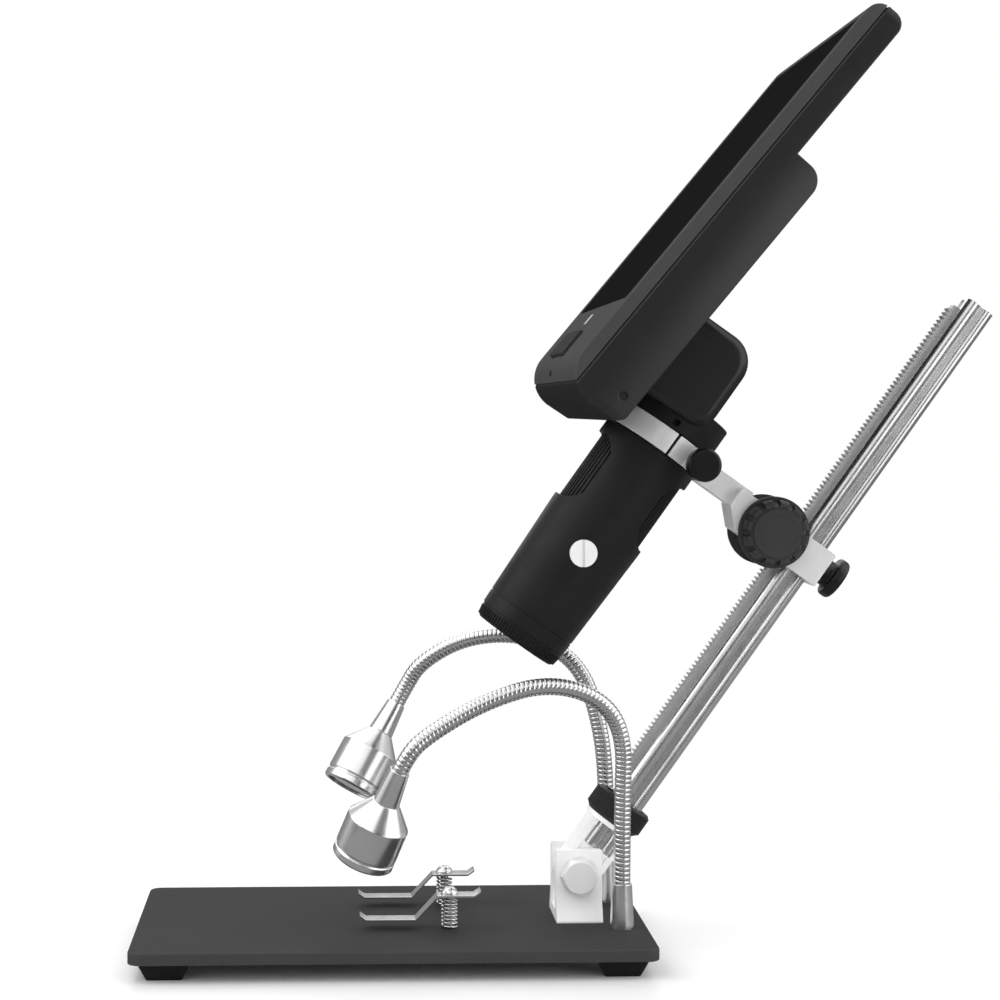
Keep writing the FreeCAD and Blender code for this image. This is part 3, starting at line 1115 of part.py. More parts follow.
def gooseneck_parts():
    """Both goosenecks with their base ferrules, the nuts under the plate and both lamps."""
    parts = {"gooseneck_near": [], "gooseneck_far": [], "base_ferrules": [], "gooseneck_nuts": [],
             "lamp_ferrules": [], "lamp_housings": [], "lamp_boards": [], "lamp_reflectors": [],
             "lamp_lenses": []}
    holes = []
    for name, route, end, side in (("gooseneck_near", NEAR_ROUTE, NEAR_LAMP_END, -1),
                                   ("gooseneck_far", FAR_ROUTE, FAR_LAMP_END, 1)):
        points = gooseneck_points(route, side)
        top = points[-1]
        lamp = Vector(end[0], side * LAMP_Y, end[1])
        axis = (lamp - top).normalize()
        points[-1] = top - axis * NECK_LEAD
        points.append(top + axis * NECK_BITE)
        tube, wire = ribbed_tube(points)
        parts[name].append(tube)
        y = side * NECK_BASE_Y
        bore = NECK_TUBE_R + FERRULE_BORE_GAP
        ferrule = Part.makeCone(FERRULE_R0, FERRULE_R1, FERRULE_H, Vector(NECK_BASE_X, y,
                                                                         PLATE_TOP))
        stud = cylinder(FERRULE_R0 - 1.2, (NECK_BASE_X, y, FOOT_HEIGHT - 3.4), (0, 0, 1),
                        PLATE_TOP + 0.5 - FOOT_HEIGHT + 3.4)
        tube_bore = cylinder(bore, (NECK_BASE_X, y, PLATE_TOP + 1.0), (0, 0, 1), FERRULE_H)
        parts["base_ferrules"].append(ferrule.fuse(stud).cut(tube_bore).removeSplitter())
        hole = cylinder(FERRULE_R0 - 1.2, (NECK_BASE_X, y, 0), (0, 0, 1), PLATE_TOP)
        holes.append(hole)
        corners = [Vector(NECK_BASE_X + 6.0 * math.cos(math.radians(60 * i)),
                          y + 6.0 * math.sin(math.radians(60 * i)), FOOT_HEIGHT - 3.0)
                   for i in range(6)]
        nut = face_of(corners).extrude(Vector(0, 0, 3.0)).cut(hole)
        parts["gooseneck_nuts"].append(nut)
        ferrule, housing, board, holder, lens = lamp_parts((top.x, top.z), end, side)
        parts["lamp_ferrules"].append(ferrule)
        parts["lamp_housings"].append(housing)
        parts["lamp_boards"].append(board)
        parts["lamp_reflectors"].append(holder)
        parts["lamp_lenses"].append(lens)
    return parts, holes


def clip_parts():
    """Spring-steel stage clips, their screws, nuts and compression springs."""
    clips = []
    screws = []
    springs = []
    holes = []
    gaps = []
    for side in (-1, 1):
        y = side * CLIP_Y
        profile = [(CLIP_TOE, PLATE_TOP + CLIP_LOW + CLIP_TOE_LIFT),
                   (CLIP_FLAT_START, PLATE_TOP + CLIP_LOW), (CLIP_RAMP_START, PLATE_TOP + CLIP_LOW),
                   (CLIP_RAMP_END, PLATE_TOP + CLIP_HIGH), (CLIP_FLAT_END, PLATE_TOP + CLIP_HIGH),
                   (CLIP_HEEL, PLATE_TOP + CLIP_HIGH + CLIP_TOE_LIFT)]
        lower = [Vector(x, y - CLIP_WIDTH / 2, z) for x, z in profile]
        upper = [point + Vector(0, 0, CLIP_SHEET) for point in reversed(lower)]
        clip = face_of(lower + upper).extrude(Vector(0, CLIP_WIDTH, 0))
        screw_hole = cylinder(CLIP_SCREW_R + 0.3, (CLIP_X, y, PLATE_TOP), (0, 0, 1), 30)
        clips.append(clip.cut(screw_hole))
        under = PLATE_TOP + CLIP_HIGH
        head_z = under + CLIP_SHEET
        shank = cylinder(CLIP_SCREW_R, (CLIP_X, y, FOOT_HEIGHT - CLIP_NUT_H), (0, 0, 1),
                         head_z - FOOT_HEIGHT + CLIP_NUT_H)
        dome = Part.makeSphere(CLIP_HEAD_R * 1.05, Vector(CLIP_X, y, head_z - 0.6))
        dome = dome.common(cylinder(CLIP_HEAD_R, (CLIP_X, y, head_z), (0, 0, 1), CLIP_HEAD_H))
        slot = box(CLIP_X - 5, CLIP_X + 5, y - 0.4, y + 0.4, head_z + CLIP_HEAD_H - 0.9,
                   head_z + CLIP_HEAD_H + 2)
        screws.append(shank.fuse(dome).cut(slot).removeSplitter())
        holes.append(cylinder(CLIP_SCREW_R, (CLIP_X, y, 0), (0, 0, 1), PLATE_TOP))
        spring, gap = coil_spring(CLIP_X, y, PLATE_TOP, under)
        springs.append(spring)
        gaps.append(gap)
    print("clip spring least gap to itself", round(min(gaps), 2))
    return clips, screws, springs, holes


def coil_spring(x, y, bottom, top):
    """A compression spring as one unbroken round wire on quarter-turn arcs."""
    low = bottom + CLIP_SPRING_WIRE
    rise = top - CLIP_SPRING_WIRE - CLIP_SPRING_GAP - low
    steps = CLIP_SPRING_TURNS * 8

    def at(i):
        angle = 2 * math.pi * i / 8
        return Vector(x + CLIP_SPRING_R * math.cos(angle), y + CLIP_SPRING_R * math.sin(angle),
                      low + rise * i / steps)
    edges = [Part.Arc(at(i), at(i + 1), at(i + 2)).toShape() for i in range(0, steps, 2)]
    path = Part.Wire(edges)
    start = edges[0].tangentAt(edges[0].FirstParameter)
    side = start.cross(UP).normalize()
    lift = side.cross(start).normalize()
    corners = [at(0) + (side * math.cos(math.pi * i / 3) + lift * math.sin(math.pi * i / 3))
               * CLIP_SPRING_WIRE for i in range(6)]
    ring = Part.makePolygon(corners + [corners[0]])
    spring = path.makePipeShell([ring], True, False)
    return spring, rise / CLIP_SPRING_TURNS - 2 * CLIP_SPRING_WIRE


def head_parts(outside):
    """Barrel neck and the link housing that joins barrel and display."""
    z = upright
    neck = turned([(BARREL_BORE_R, z(WAIST_TOP)), (NECK_R - 0.5, z(WAIST_TOP)),
                   (NECK_R, z(WAIST_TOP) + 0.5), (NECK_R, z(NECK_TOP)),
                   (BARREL_BORE_R, z(NECK_TOP))], BARREL_X)
    slot_x = BARREL_X + NECK_SLOT_OFFSET
    slot = box(slot_x - NECK_SLOT / 2, slot_x + NECK_SLOT / 2, -NECK_R - 1,
               -NECK_R + NECK_SLOT_DEPTH, z(NECK_SLOT_HEIGHT), z(NECK_SLOT_HEIGHT) + NECK_SLOT)
    neck = neck.cut(slot)
    link = box(BARREL_X - LINK_AHEAD, BARREL_X + LINK_BEHIND, -LINK_HALF, LINK_HALF, z(LINK_BOTTOM),
               z(LINK_TOP))
    link = rounded(link, LINK_CORNER, lambda e: runs_along(e, ACROSS))
    side_edges = [e for e in link.Edges if abs(abs(e.CenterOfMass.y) - LINK_HALF) < 1e-6]
    link = link.makeFillet(LINK_EDGE, side_edges)
    room = cylinder(NECK_R, (BARREL_X, 0, z(LINK_BOTTOM)), (0, 0, 1), NECK_TOP - LINK_BOTTOM)
    link = link.cut(room).cut(outside)
    link = max(link.Solids, key=lambda solid: solid.Volume)
    neck = neck.cut(outside)
    return neck, link


def write_part(name, shape):
    """Write one node's solids to its STEP file."""
    solids = shape if isinstance(shape, list) else [shape]
    flat = [solid for item in solids for solid in item.Solids]
    bad = [solid for solid in flat if not solid.isValid()]
    if bad:
        print("INVALID", name, len(bad))
    result = flat[0] if len(flat) == 1 else Part.makeCompound(flat)
    result.exportStep("parts/" + name + ".step")
    print(name, len(flat), round(sum(solid.Volume for solid in flat), 1))


def main():
    """Build every node and write it."""
    os.makedirs("parts", exist_ok=True)
    nodes = {}
    plate, foot_holes, feet, foot_screws = base_parts()
    bracket, bracket_holes, bolt, washers, nut, bracket_screws = bracket_parts()
    necks, neck_holes = gooseneck_parts()
    clips, clip_screws, springs, clip_holes = clip_parts()
    countersinks = [Part.makeCone(BRACKET_SCREW_HEAD_R, BRACKET_SCREW_R,
                                  BRACKET_SCREW_HEAD_R - BRACKET_SCREW_R,
                                  Vector(BOLT_X + side * BRACKET_SCREW_PITCH / 2, 0, FOOT_HEIGHT))
                    for side in (-1, 1)]
    plate = cut_all(plate, foot_holes + bracket_holes + neck_holes + clip_holes)
    nodes["base_plate"] = plate.cut(countersinks[0]).cut(countersinks[1])
    nodes["base_feet"] = feet
    nodes["foot_screws"] = foot_screws
    nodes["tilt_bracket"] = bracket
    nodes["bracket_screws"] = bracket_screws
    nodes["tilt_bolt"] = bolt
    nodes["tilt_washers"] = washers
    nodes["tilt_nut"] = nut
    nodes.update(necks)
    nodes["stage_clip_near"] = clips[0]
    nodes["stage_clip_far"] = clips[1]
    nodes["clip_screws"] = clip_screws
    nodes["clip_springs"] = springs

    rack, rack_holes, rack_screws = rack_parts()
    nodes["pivot_block"] = tilted(pivot_block())
    nodes["column"] = tilted(cut_all(column_profile(), rack_holes))
    nodes["rack"] = tilted(rack)
    nodes["rack_screws"] = [tilted(screw) for screw in rack_screws]
    nodes["column_nut"] = tilted(column_nut())

    shaft, bushes, knobs = drive_parts()
    block, arm = carriage_parts()
    nodes["carriage"] = tilted(block)
    nodes["shaft_bushes"] = [tilted(bush) for bush in bushes]
    nodes["clamp_arm"] = tilted(arm)
    nodes["pinion_shaft"] = tilted(shaft)
    nodes["focus_knob_near"] = tilted(knobs[0])
    nodes["focus_knob_far"] = tilted(knobs[1])
    nodes["lock_screw"] = tilted(lock_screw())
    nodes["ring_screw"] = tilted(ring_screw())

    shell, pads, ring, plug = barrel_parts()
    tube, lenses, light_board, leds, holder, sensor = optics_parts()
    display, keys, outside = display_parts()
    placed_outside = placed_display(outside.copy())
    neck, link = head_parts(placed_outside)
    nodes["barrel_shell"] = tilted(shell)
    nodes["grip_pads"] = [tilted(pad) for pad in pads]
    nodes["lens_ring"] = tilted(ring)
    nodes["slotted_plug"] = tilted(plug)
    nodes["objective_tube"] = tilted(tube)
    nodes["objective_lenses"] = [tilted(lens) for lens in lenses]
    nodes["ring_light_board"] = tilted(light_board)
    nodes["ring_light_leds"] = [tilted(led) for led in leds]
    nodes["sensor_holder"] = tilted(holder)
    nodes["sensor_board"] = tilted(sensor)
    nodes["barrel_neck"] = tilted(neck)
    nodes["link_housing"] = tilted(link)
    for name, shape in display.items():
        pieces = shape if isinstance(shape, list) else [shape]
        nodes[name] = [tilted(placed_display(piece)) for piece in pieces]
    for name, key in zip(("key_right", "key_middle", "key_left"), keys):
        nodes[name] = tilted(placed_display(key))
    for name, shape in nodes.items():
        write_part(name, shape)
    print("nodes", len(nodes))


main()
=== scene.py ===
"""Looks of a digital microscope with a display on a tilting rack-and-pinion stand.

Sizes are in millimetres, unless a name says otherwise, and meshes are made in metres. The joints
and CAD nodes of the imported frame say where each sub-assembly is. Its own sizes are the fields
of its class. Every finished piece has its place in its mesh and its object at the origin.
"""
from __future__ import annotations

import json
import logging
import math
from dataclasses import dataclass, field
from enum import Enum
from typing import Any, ClassVar, Sequence

import bmesh
import bpy
from mathutils import Euler, Matrix, Vector

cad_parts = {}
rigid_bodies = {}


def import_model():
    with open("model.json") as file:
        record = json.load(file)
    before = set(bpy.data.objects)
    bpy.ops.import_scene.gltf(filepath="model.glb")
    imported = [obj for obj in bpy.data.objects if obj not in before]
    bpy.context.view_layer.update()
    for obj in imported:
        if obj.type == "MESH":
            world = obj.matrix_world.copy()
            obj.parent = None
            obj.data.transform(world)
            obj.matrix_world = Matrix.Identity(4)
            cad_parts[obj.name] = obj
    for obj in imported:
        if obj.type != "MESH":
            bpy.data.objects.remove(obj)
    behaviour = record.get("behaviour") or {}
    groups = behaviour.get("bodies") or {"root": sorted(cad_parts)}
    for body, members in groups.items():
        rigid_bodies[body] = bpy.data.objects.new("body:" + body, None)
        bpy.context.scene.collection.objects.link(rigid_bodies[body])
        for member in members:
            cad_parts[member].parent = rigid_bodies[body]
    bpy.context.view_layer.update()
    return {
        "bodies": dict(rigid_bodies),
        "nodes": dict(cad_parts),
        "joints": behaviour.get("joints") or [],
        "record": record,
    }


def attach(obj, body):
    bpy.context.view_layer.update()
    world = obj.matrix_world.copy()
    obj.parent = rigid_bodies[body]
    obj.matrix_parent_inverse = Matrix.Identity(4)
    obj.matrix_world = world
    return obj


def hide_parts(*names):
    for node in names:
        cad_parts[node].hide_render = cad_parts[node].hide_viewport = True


LOG = logging.getLogger("microscope")
MM = 0.001
ACROSS = Vector((0.0, 1.0, 0.0))
SMOOTH = "SMOOTHSTEP"
TINY = 1e-6
MOST_CUT = 0.45
LEAST_CUT = 0.02
NEARLY_STRAIGHT = 0.995
Profile = Sequence[tuple[float, float]]


class Pattern(Enum):
    """The small-scale structure of a surface."""

    POWDER = "powder coat"
    MOULDED = "moulded plastic"
    BRUSHED = "brushed along one line"
    TURNED = "turned on a lathe"
    POLISHED = "polished"
    RUBBER = "ribbed rubber"


@dataclass(frozen=True)
class Placement:
    """A local frame: its origin in metres and the directions of its three axes."""

    origin: Vector
    x_axis: Vector
    y_axis: Vector
    z_axis: Vector

    @classmethod
    def along(cls, origin: Sequence[float], direction: Sequence[float]) -> Placement:
        """Make a frame whose Z runs along a direction that is square to the stand's width.

        Args:
            origin: The frame's origin in metres.
            direction: Its Z direction.

        Returns:
            The frame, with Y across the stand wherever the direction allows it.
        """
        z_axis = Vector(direction).normalized()
        side = ACROSS if abs(z_axis.dot(ACROSS)) < 0.9 else Vector((1.0, 0.0, 0.0))
        x_axis = side.cross(z_axis).normalized()
        return cls(Vector(origin), x_axis, z_axis.cross(x_axis).normalized(), z_axis)

    def matrix(self) -> Matrix:
        """The matrix from local millimetres to the frame's metres."""
        turn = Matrix((self.x_axis, self.y_axis, self.z_axis)).transposed().to_4x4()
        return Matrix.Translation(self.origin) @ turn @ Matrix.Scale(MM, 4)

    def euler(self) -> Euler:
        """The frame's turn, as a Mapping node takes it."""
        return Matrix((self.x_axis, self.y_axis, self.z_axis)).transposed().to_euler()

    def moved(self, along_mm: float) -> Placement:
        """The same frame, shifted along its Z."""
        return Placement(self.origin + self.z_axis * along_mm * MM, self.x_axis, self.y_axis,
                         self.z_axis)


UPRIGHT = Placement.along((0.0, 0.0, 0.0), (0.0, 0.0, 1.0))


class Nodes:
    """Short calls for the nodes of one tree: a material's, the world's or a growth's."""

    def __init__(self, tree: bpy.types.NodeTree) -> None:
        """Work on a tree."""
        self.tree = tree

    def join(self, source: Any, target: Any) -> None:
        """Link two sockets."""
        self.tree.links.new(source, target)

    def node(self, kind: str, **settings: Any) -> Any:
        """Add a node and set its plain properties.

        Args:
            kind: The node's type.
            **settings: The node's properties by name.

        Returns:
            The node.
        """
        made = self.tree.nodes.new(kind)
        for key, value in settings.items():
            setattr(made, key, value)
        return made

    def maths(self, operation: str, first: Any, second: Any = 0.0) -> Any:
        """Combine two values.

        Args:
            operation: The operation's name.
            first: A number or a socket.
            second: A number or a socket.

        Returns:
            The socket of the result.
        """
        made = self.node("ShaderNodeMath", operation=operation)
        for socket, value in zip(made.inputs, (first, second)):
            if isinstance(value, (int, float)):
                socket.default_value = value
            else:
                self.join(value, socket)
        return made.outputs["Value"]

    def ramp(self, value: Any, span: Sequence[float], low: float, high: float,
             curve: str = "LINEAR") -> Any:
        """Map a span of a value to low and high.

        Args:
            value: The socket that is mapped.
            span: Where the value starts and ends to count.
            low: The result at the start and before it.
            high: The result at the end and past it.
            curve: The interpolation's name.

        Returns:
            The socket of the result.
        """
        made = self.node("ShaderNodeMapRange", interpolation_type=curve)
        for name, number in zip(("From Min", "From Max", "To Min", "To Max"), (*span, low, high)):
            made.inputs[name].default_value = number
        self.join(value, made.inputs["Value"])
        return made.outputs["Result"]


class Shader(Nodes):
    """A material and the calls that build its nodes."""

    def __init__(self, name: str) -> None:
        """Start a material with a Principled shader.

        Args:
            name: The material's name.
        """
        self.material = bpy.data.materials.new(name)
        self.material.use_nodes = True
        super().__init__(self.material.node_tree)
        self.tree.nodes.clear()
        self.output = self.node("ShaderNodeOutputMaterial")
        self.surface = self.node("ShaderNodeBsdfPrincipled")
        self.join(self.surface.outputs["BSDF"], self.output.inputs["Surface"])

    def coordinates(self, place: Placement, cell: Sequence[float]) -> Any:
        """Object coordinates in a local frame, divided by a cell size.

        Args:
            place: The frame in which the pattern lies.
            cell: The pattern's cell along the frame's three axes, in millimetres.

        Returns:
            The vector socket of the mapped coordinates.
        """
        source = self.node("ShaderNodeTexCoord")
        mapping = self.node("ShaderNodeMapping", vector_type="TEXTURE")
        mapping.inputs["Location"].default_value = place.origin
        mapping.inputs["Rotation"].default_value = place.euler()
        mapping.inputs["Scale"].default_value = [size * MM for size in cell]
        self.join(source.outputs["Object"], mapping.inputs["Vector"])
        return mapping.outputs["Vector"]

    def noise(self, vector: Any, detail: float = 2.0, rough: float = 0.5) -> Any:
        """Lay noise from 0 to 1 on a vector.

        Args:
            vector: The socket of the coordinates.
            detail: How many finer layers it has.
            rough: How strong the finer layers are.

        Returns:
            The noise's socket.
        """
        made = self.node("ShaderNodeTexNoise")
        made.inputs["Scale"].default_value = 1.0
        made.inputs["Detail"].default_value = detail
        made.inputs["Roughness"].default_value = rough
        self.join(vector, made.inputs["Vector"])
        return made.outputs["Fac"]

    def blend(self, share: Any, first: Any, second: Any) -> Any:
        """Mix two colours.

        Args:
            share: The socket of the second colour's share.
            first: A socket or a plain colour.
            second: A socket or a plain colour.

        Returns:
            The mixed colour's socket.
        """
        made = self.node("ShaderNodeMix", data_type="RGBA")
        self.join(share, made.inputs[0])
        for socket, value in zip((made.inputs[6], made.inputs[7]), (first, second)):
            if isinstance(value, (tuple, list)):
                socket.default_value = (*value, 1.0)
            else:
                self.join(value, socket)
        return made.outputs[2]


@dataclass(frozen=True)
class Finish:
    """One surface finish: its colour, gloss and small-scale structure."""

    NOISE_SPAN: ClassVar[tuple[float, float]] = (0.3, 0.7)
    EDGE_SPAN: ClassVar[tuple[float, float]] = (0.72, 0.98)
    SPOT_SPAN: ClassVar[tuple[float, float]] = (0.4, 0.65)
    CLOUD_CELL: ClassVar[tuple[float, ...]] = (18.0, 18.0, 18.0)
    GLOSS_CELL: ClassVar[tuple[float, ...]] = (6.0, 6.0, 6.0)
    SPOT_CELL: ClassVar[tuple[float, ...]] = (1.3, 1.3, 1.3)
    BRUSH_LENGTH: ClassVar[float] = 60.0
    COAT_ROUGH: ClassVar[float] = 0.12
    EDGE_RADIUS: ClassVar[float] = 0.5
    WORN_GAIN: ClassVar[float] = 1.6
    WORN_LIFT: ClassVar[float] = 0.04
    WORN_POLISH: ClassVar[float] = 0.08

    slot: str
    colour: tuple[float, float, float]
    rough: float
    metal: float = 0.0
    pattern: Pattern = Pattern.MOULDED
    grain: float = 0.35
    relief: float = 0.12
    drift: float = 0.10
    wear: float = 0.0
    specular: float = 0.5
    coat: float = 0.0
    clear: float = 0.0
    glow: float = 0.0
    ior: float = 1.5
    mirror: float = 0.0
    mirror_rough: float = 0.1
    gloss_drift: float = 0.15

    def cell(self) -> tuple[float, float, float]:
        """The grain's cell along the three axes of its frame, in millimetres."""
        if self.pattern is Pattern.BRUSHED:
            return self.grain, self.grain, self.grain * self.BRUSH_LENGTH
        return self.grain, self.grain, self.grain

    def build(self, place: Placement = UPRIGHT, suffix: str = "") -> bpy.types.Material:
        """Build the finish as nodes.

        Args:
            place: The frame that brushing and turning marks follow.
            suffix: Added to the material's name where one finish has several frames.

        Returns:
            The material.
        """
        shader = Shader(self.slot + suffix)
        surface = shader.surface
        surface.inputs["Metallic"].default_value = self.metal
        surface.inputs["Specular IOR Level"].default_value = self.specular
        surface.inputs["Coat Weight"].default_value = self.coat
        surface.inputs["Coat Roughness"].default_value = self.COAT_ROUGH
        surface.inputs["Transmission Weight"].default_value = self.clear
        surface.inputs["IOR"].default_value = self.ior
        cloud = shader.noise(shader.coordinates(place, self.CLOUD_CELL), 3.0)
        low = tuple(max(0.0, c * (1.0 - self.drift)) for c in self.colour)
        high = tuple(min(1.0, c * (1.0 + self.drift)) for c in self.colour)
        colour = shader.blend(shader.ramp(cloud, self.NOISE_SPAN, 0.0, 1.0), low, high)
        grain = self.grain_height(shader, place)
        smudge = shader.noise(shader.coordinates(place, self.GLOSS_CELL), 4.0)
        gloss = shader.ramp(smudge, self.NOISE_SPAN, self.rough * (1.0 - self.gloss_drift),
                            min(1.0, self.rough * (1.0 + self.gloss_drift)))
        if self.wear > 0.0:
            edge = self.edge_share(shader, place)
            worn = tuple(min(1.0, c * self.WORN_GAIN + self.WORN_LIFT) for c in self.colour)
            colour = shader.blend(edge, colour, worn)
            gloss = shader.maths("SUBTRACT", gloss,
                                 shader.maths("MULTIPLY", edge, self.WORN_POLISH))
        shader.join(colour, surface.inputs["Base Color"])
        shader.join(gloss, surface.inputs["Roughness"])
        if self.relief > 0.0:
            bump = shader.node("ShaderNodeBump")
            bump.inputs["Strength"].default_value = self.relief
            bump.inputs["Distance"].default_value = self.grain * MM * 0.5
            shader.join(grain, bump.inputs["Height"])
            shader.join(bump.outputs["Normal"], surface.inputs["Normal"])
        if self.glow > 0.0:
            surface.inputs["Emission Color"].default_value = (*self.colour, 1.0)
            surface.inputs["Emission Strength"].default_value = self.glow
        if self.mirror > 0.0:
            self.add_mirror(shader)
        return shader.material

    def add_mirror(self, shader: Shader) -> None:
        """Mix in a reflection that is equally weak from every side.

        Args:
            shader: The finish's material.
        """
        gloss = shader.node("ShaderNodeBsdfAnisotropic")
        gloss.inputs["Roughness"].default_value = self.mirror_rough
        mixed = shader.node("ShaderNodeMixShader")
        mixed.inputs["Fac"].default_value = self.mirror
        shader.join(shader.surface.outputs["BSDF"], mixed.inputs[1])
        shader.join(gloss.outputs["BSDF"], mixed.inputs[2])
        shader.join(mixed.outputs["Shader"], shader.output.inputs["Surface"])

    def grain_height(self, shader: Shader, place: Placement) -> Any:
        """The height field of the finish's grain.

        Args:
            shader: The finish's material.
            place: The frame that the grain follows.

        Returns:
            The height's socket.
        """
        vector = shader.coordinates(place, self.cell())
        if self.pattern is Pattern.TURNED:
            parts = shader.node("ShaderNodeSeparateXYZ")
            shader.join(vector, parts.inputs["Vector"])
            flat = shader.node("ShaderNodeCombineXYZ")
            shader.join(parts.outputs["X"], flat.inputs["X"])
            shader.join(parts.outputs["Y"], flat.inputs["Y"])
            radius = shader.node("ShaderNodeVectorMath", operation="LENGTH")
            shader.join(flat.outputs["Vector"], radius.inputs[0])
            rings = shader.node("ShaderNodeCombineXYZ")
            shader.join(radius.outputs["Value"], rings.inputs["X"])
            shader.join(parts.outputs["Z"], rings.inputs["Z"])
            return shader.noise(rings.outputs["Vector"], 3.0, 0.7)
        if self.pattern is Pattern.POWDER:
            cells = shader.node("ShaderNodeTexVoronoi", feature="SMOOTH_F1")
            cells.inputs["Scale"].default_value = 1.0
            shader.join(vector, cells.inputs["Vector"])
            return shader.maths("ADD", cells.outputs["Distance"], shader.noise(vector, 3.0))
        if self.pattern is Pattern.BRUSHED:
            return shader.noise(vector, 1.0, 0.4)
        return shader.noise(vector, 4.0, 0.6)

    def edge_share(self, shader: Shader, place: Placement) -> Any:
        """How far a point is on a rounded outer edge, broken up by noise.

        Args:
            shader: The finish's material.
            place: The frame in which the noise lies.

        Returns:
            The socket of the share of wear, from 0 to 1.
        """
        rounded = shader.node("ShaderNodeBevel", samples=4)
        rounded.inputs["Radius"].default_value = self.EDGE_RADIUS * MM
        plain = shader.node("ShaderNodeNewGeometry")
        turn = shader.node("ShaderNodeVectorMath", operation="DOT_PRODUCT")
        shader.join(rounded.outputs["Normal"], turn.inputs[0])
        shader.join(plain.outputs["Normal"], turn.inputs[1])
        edge = shader.ramp(turn.outputs["Value"], self.EDGE_SPAN, 1.0, 0.0)
        spots = shader.noise(shader.coordinates(place, self.SPOT_CELL), 4.0)
        share = shader.maths("MULTIPLY", edge, shader.ramp(spots, self.SPOT_SPAN, 0.3, 1.0))
        return shader.maths("MULTIPLY", share, self.wear)


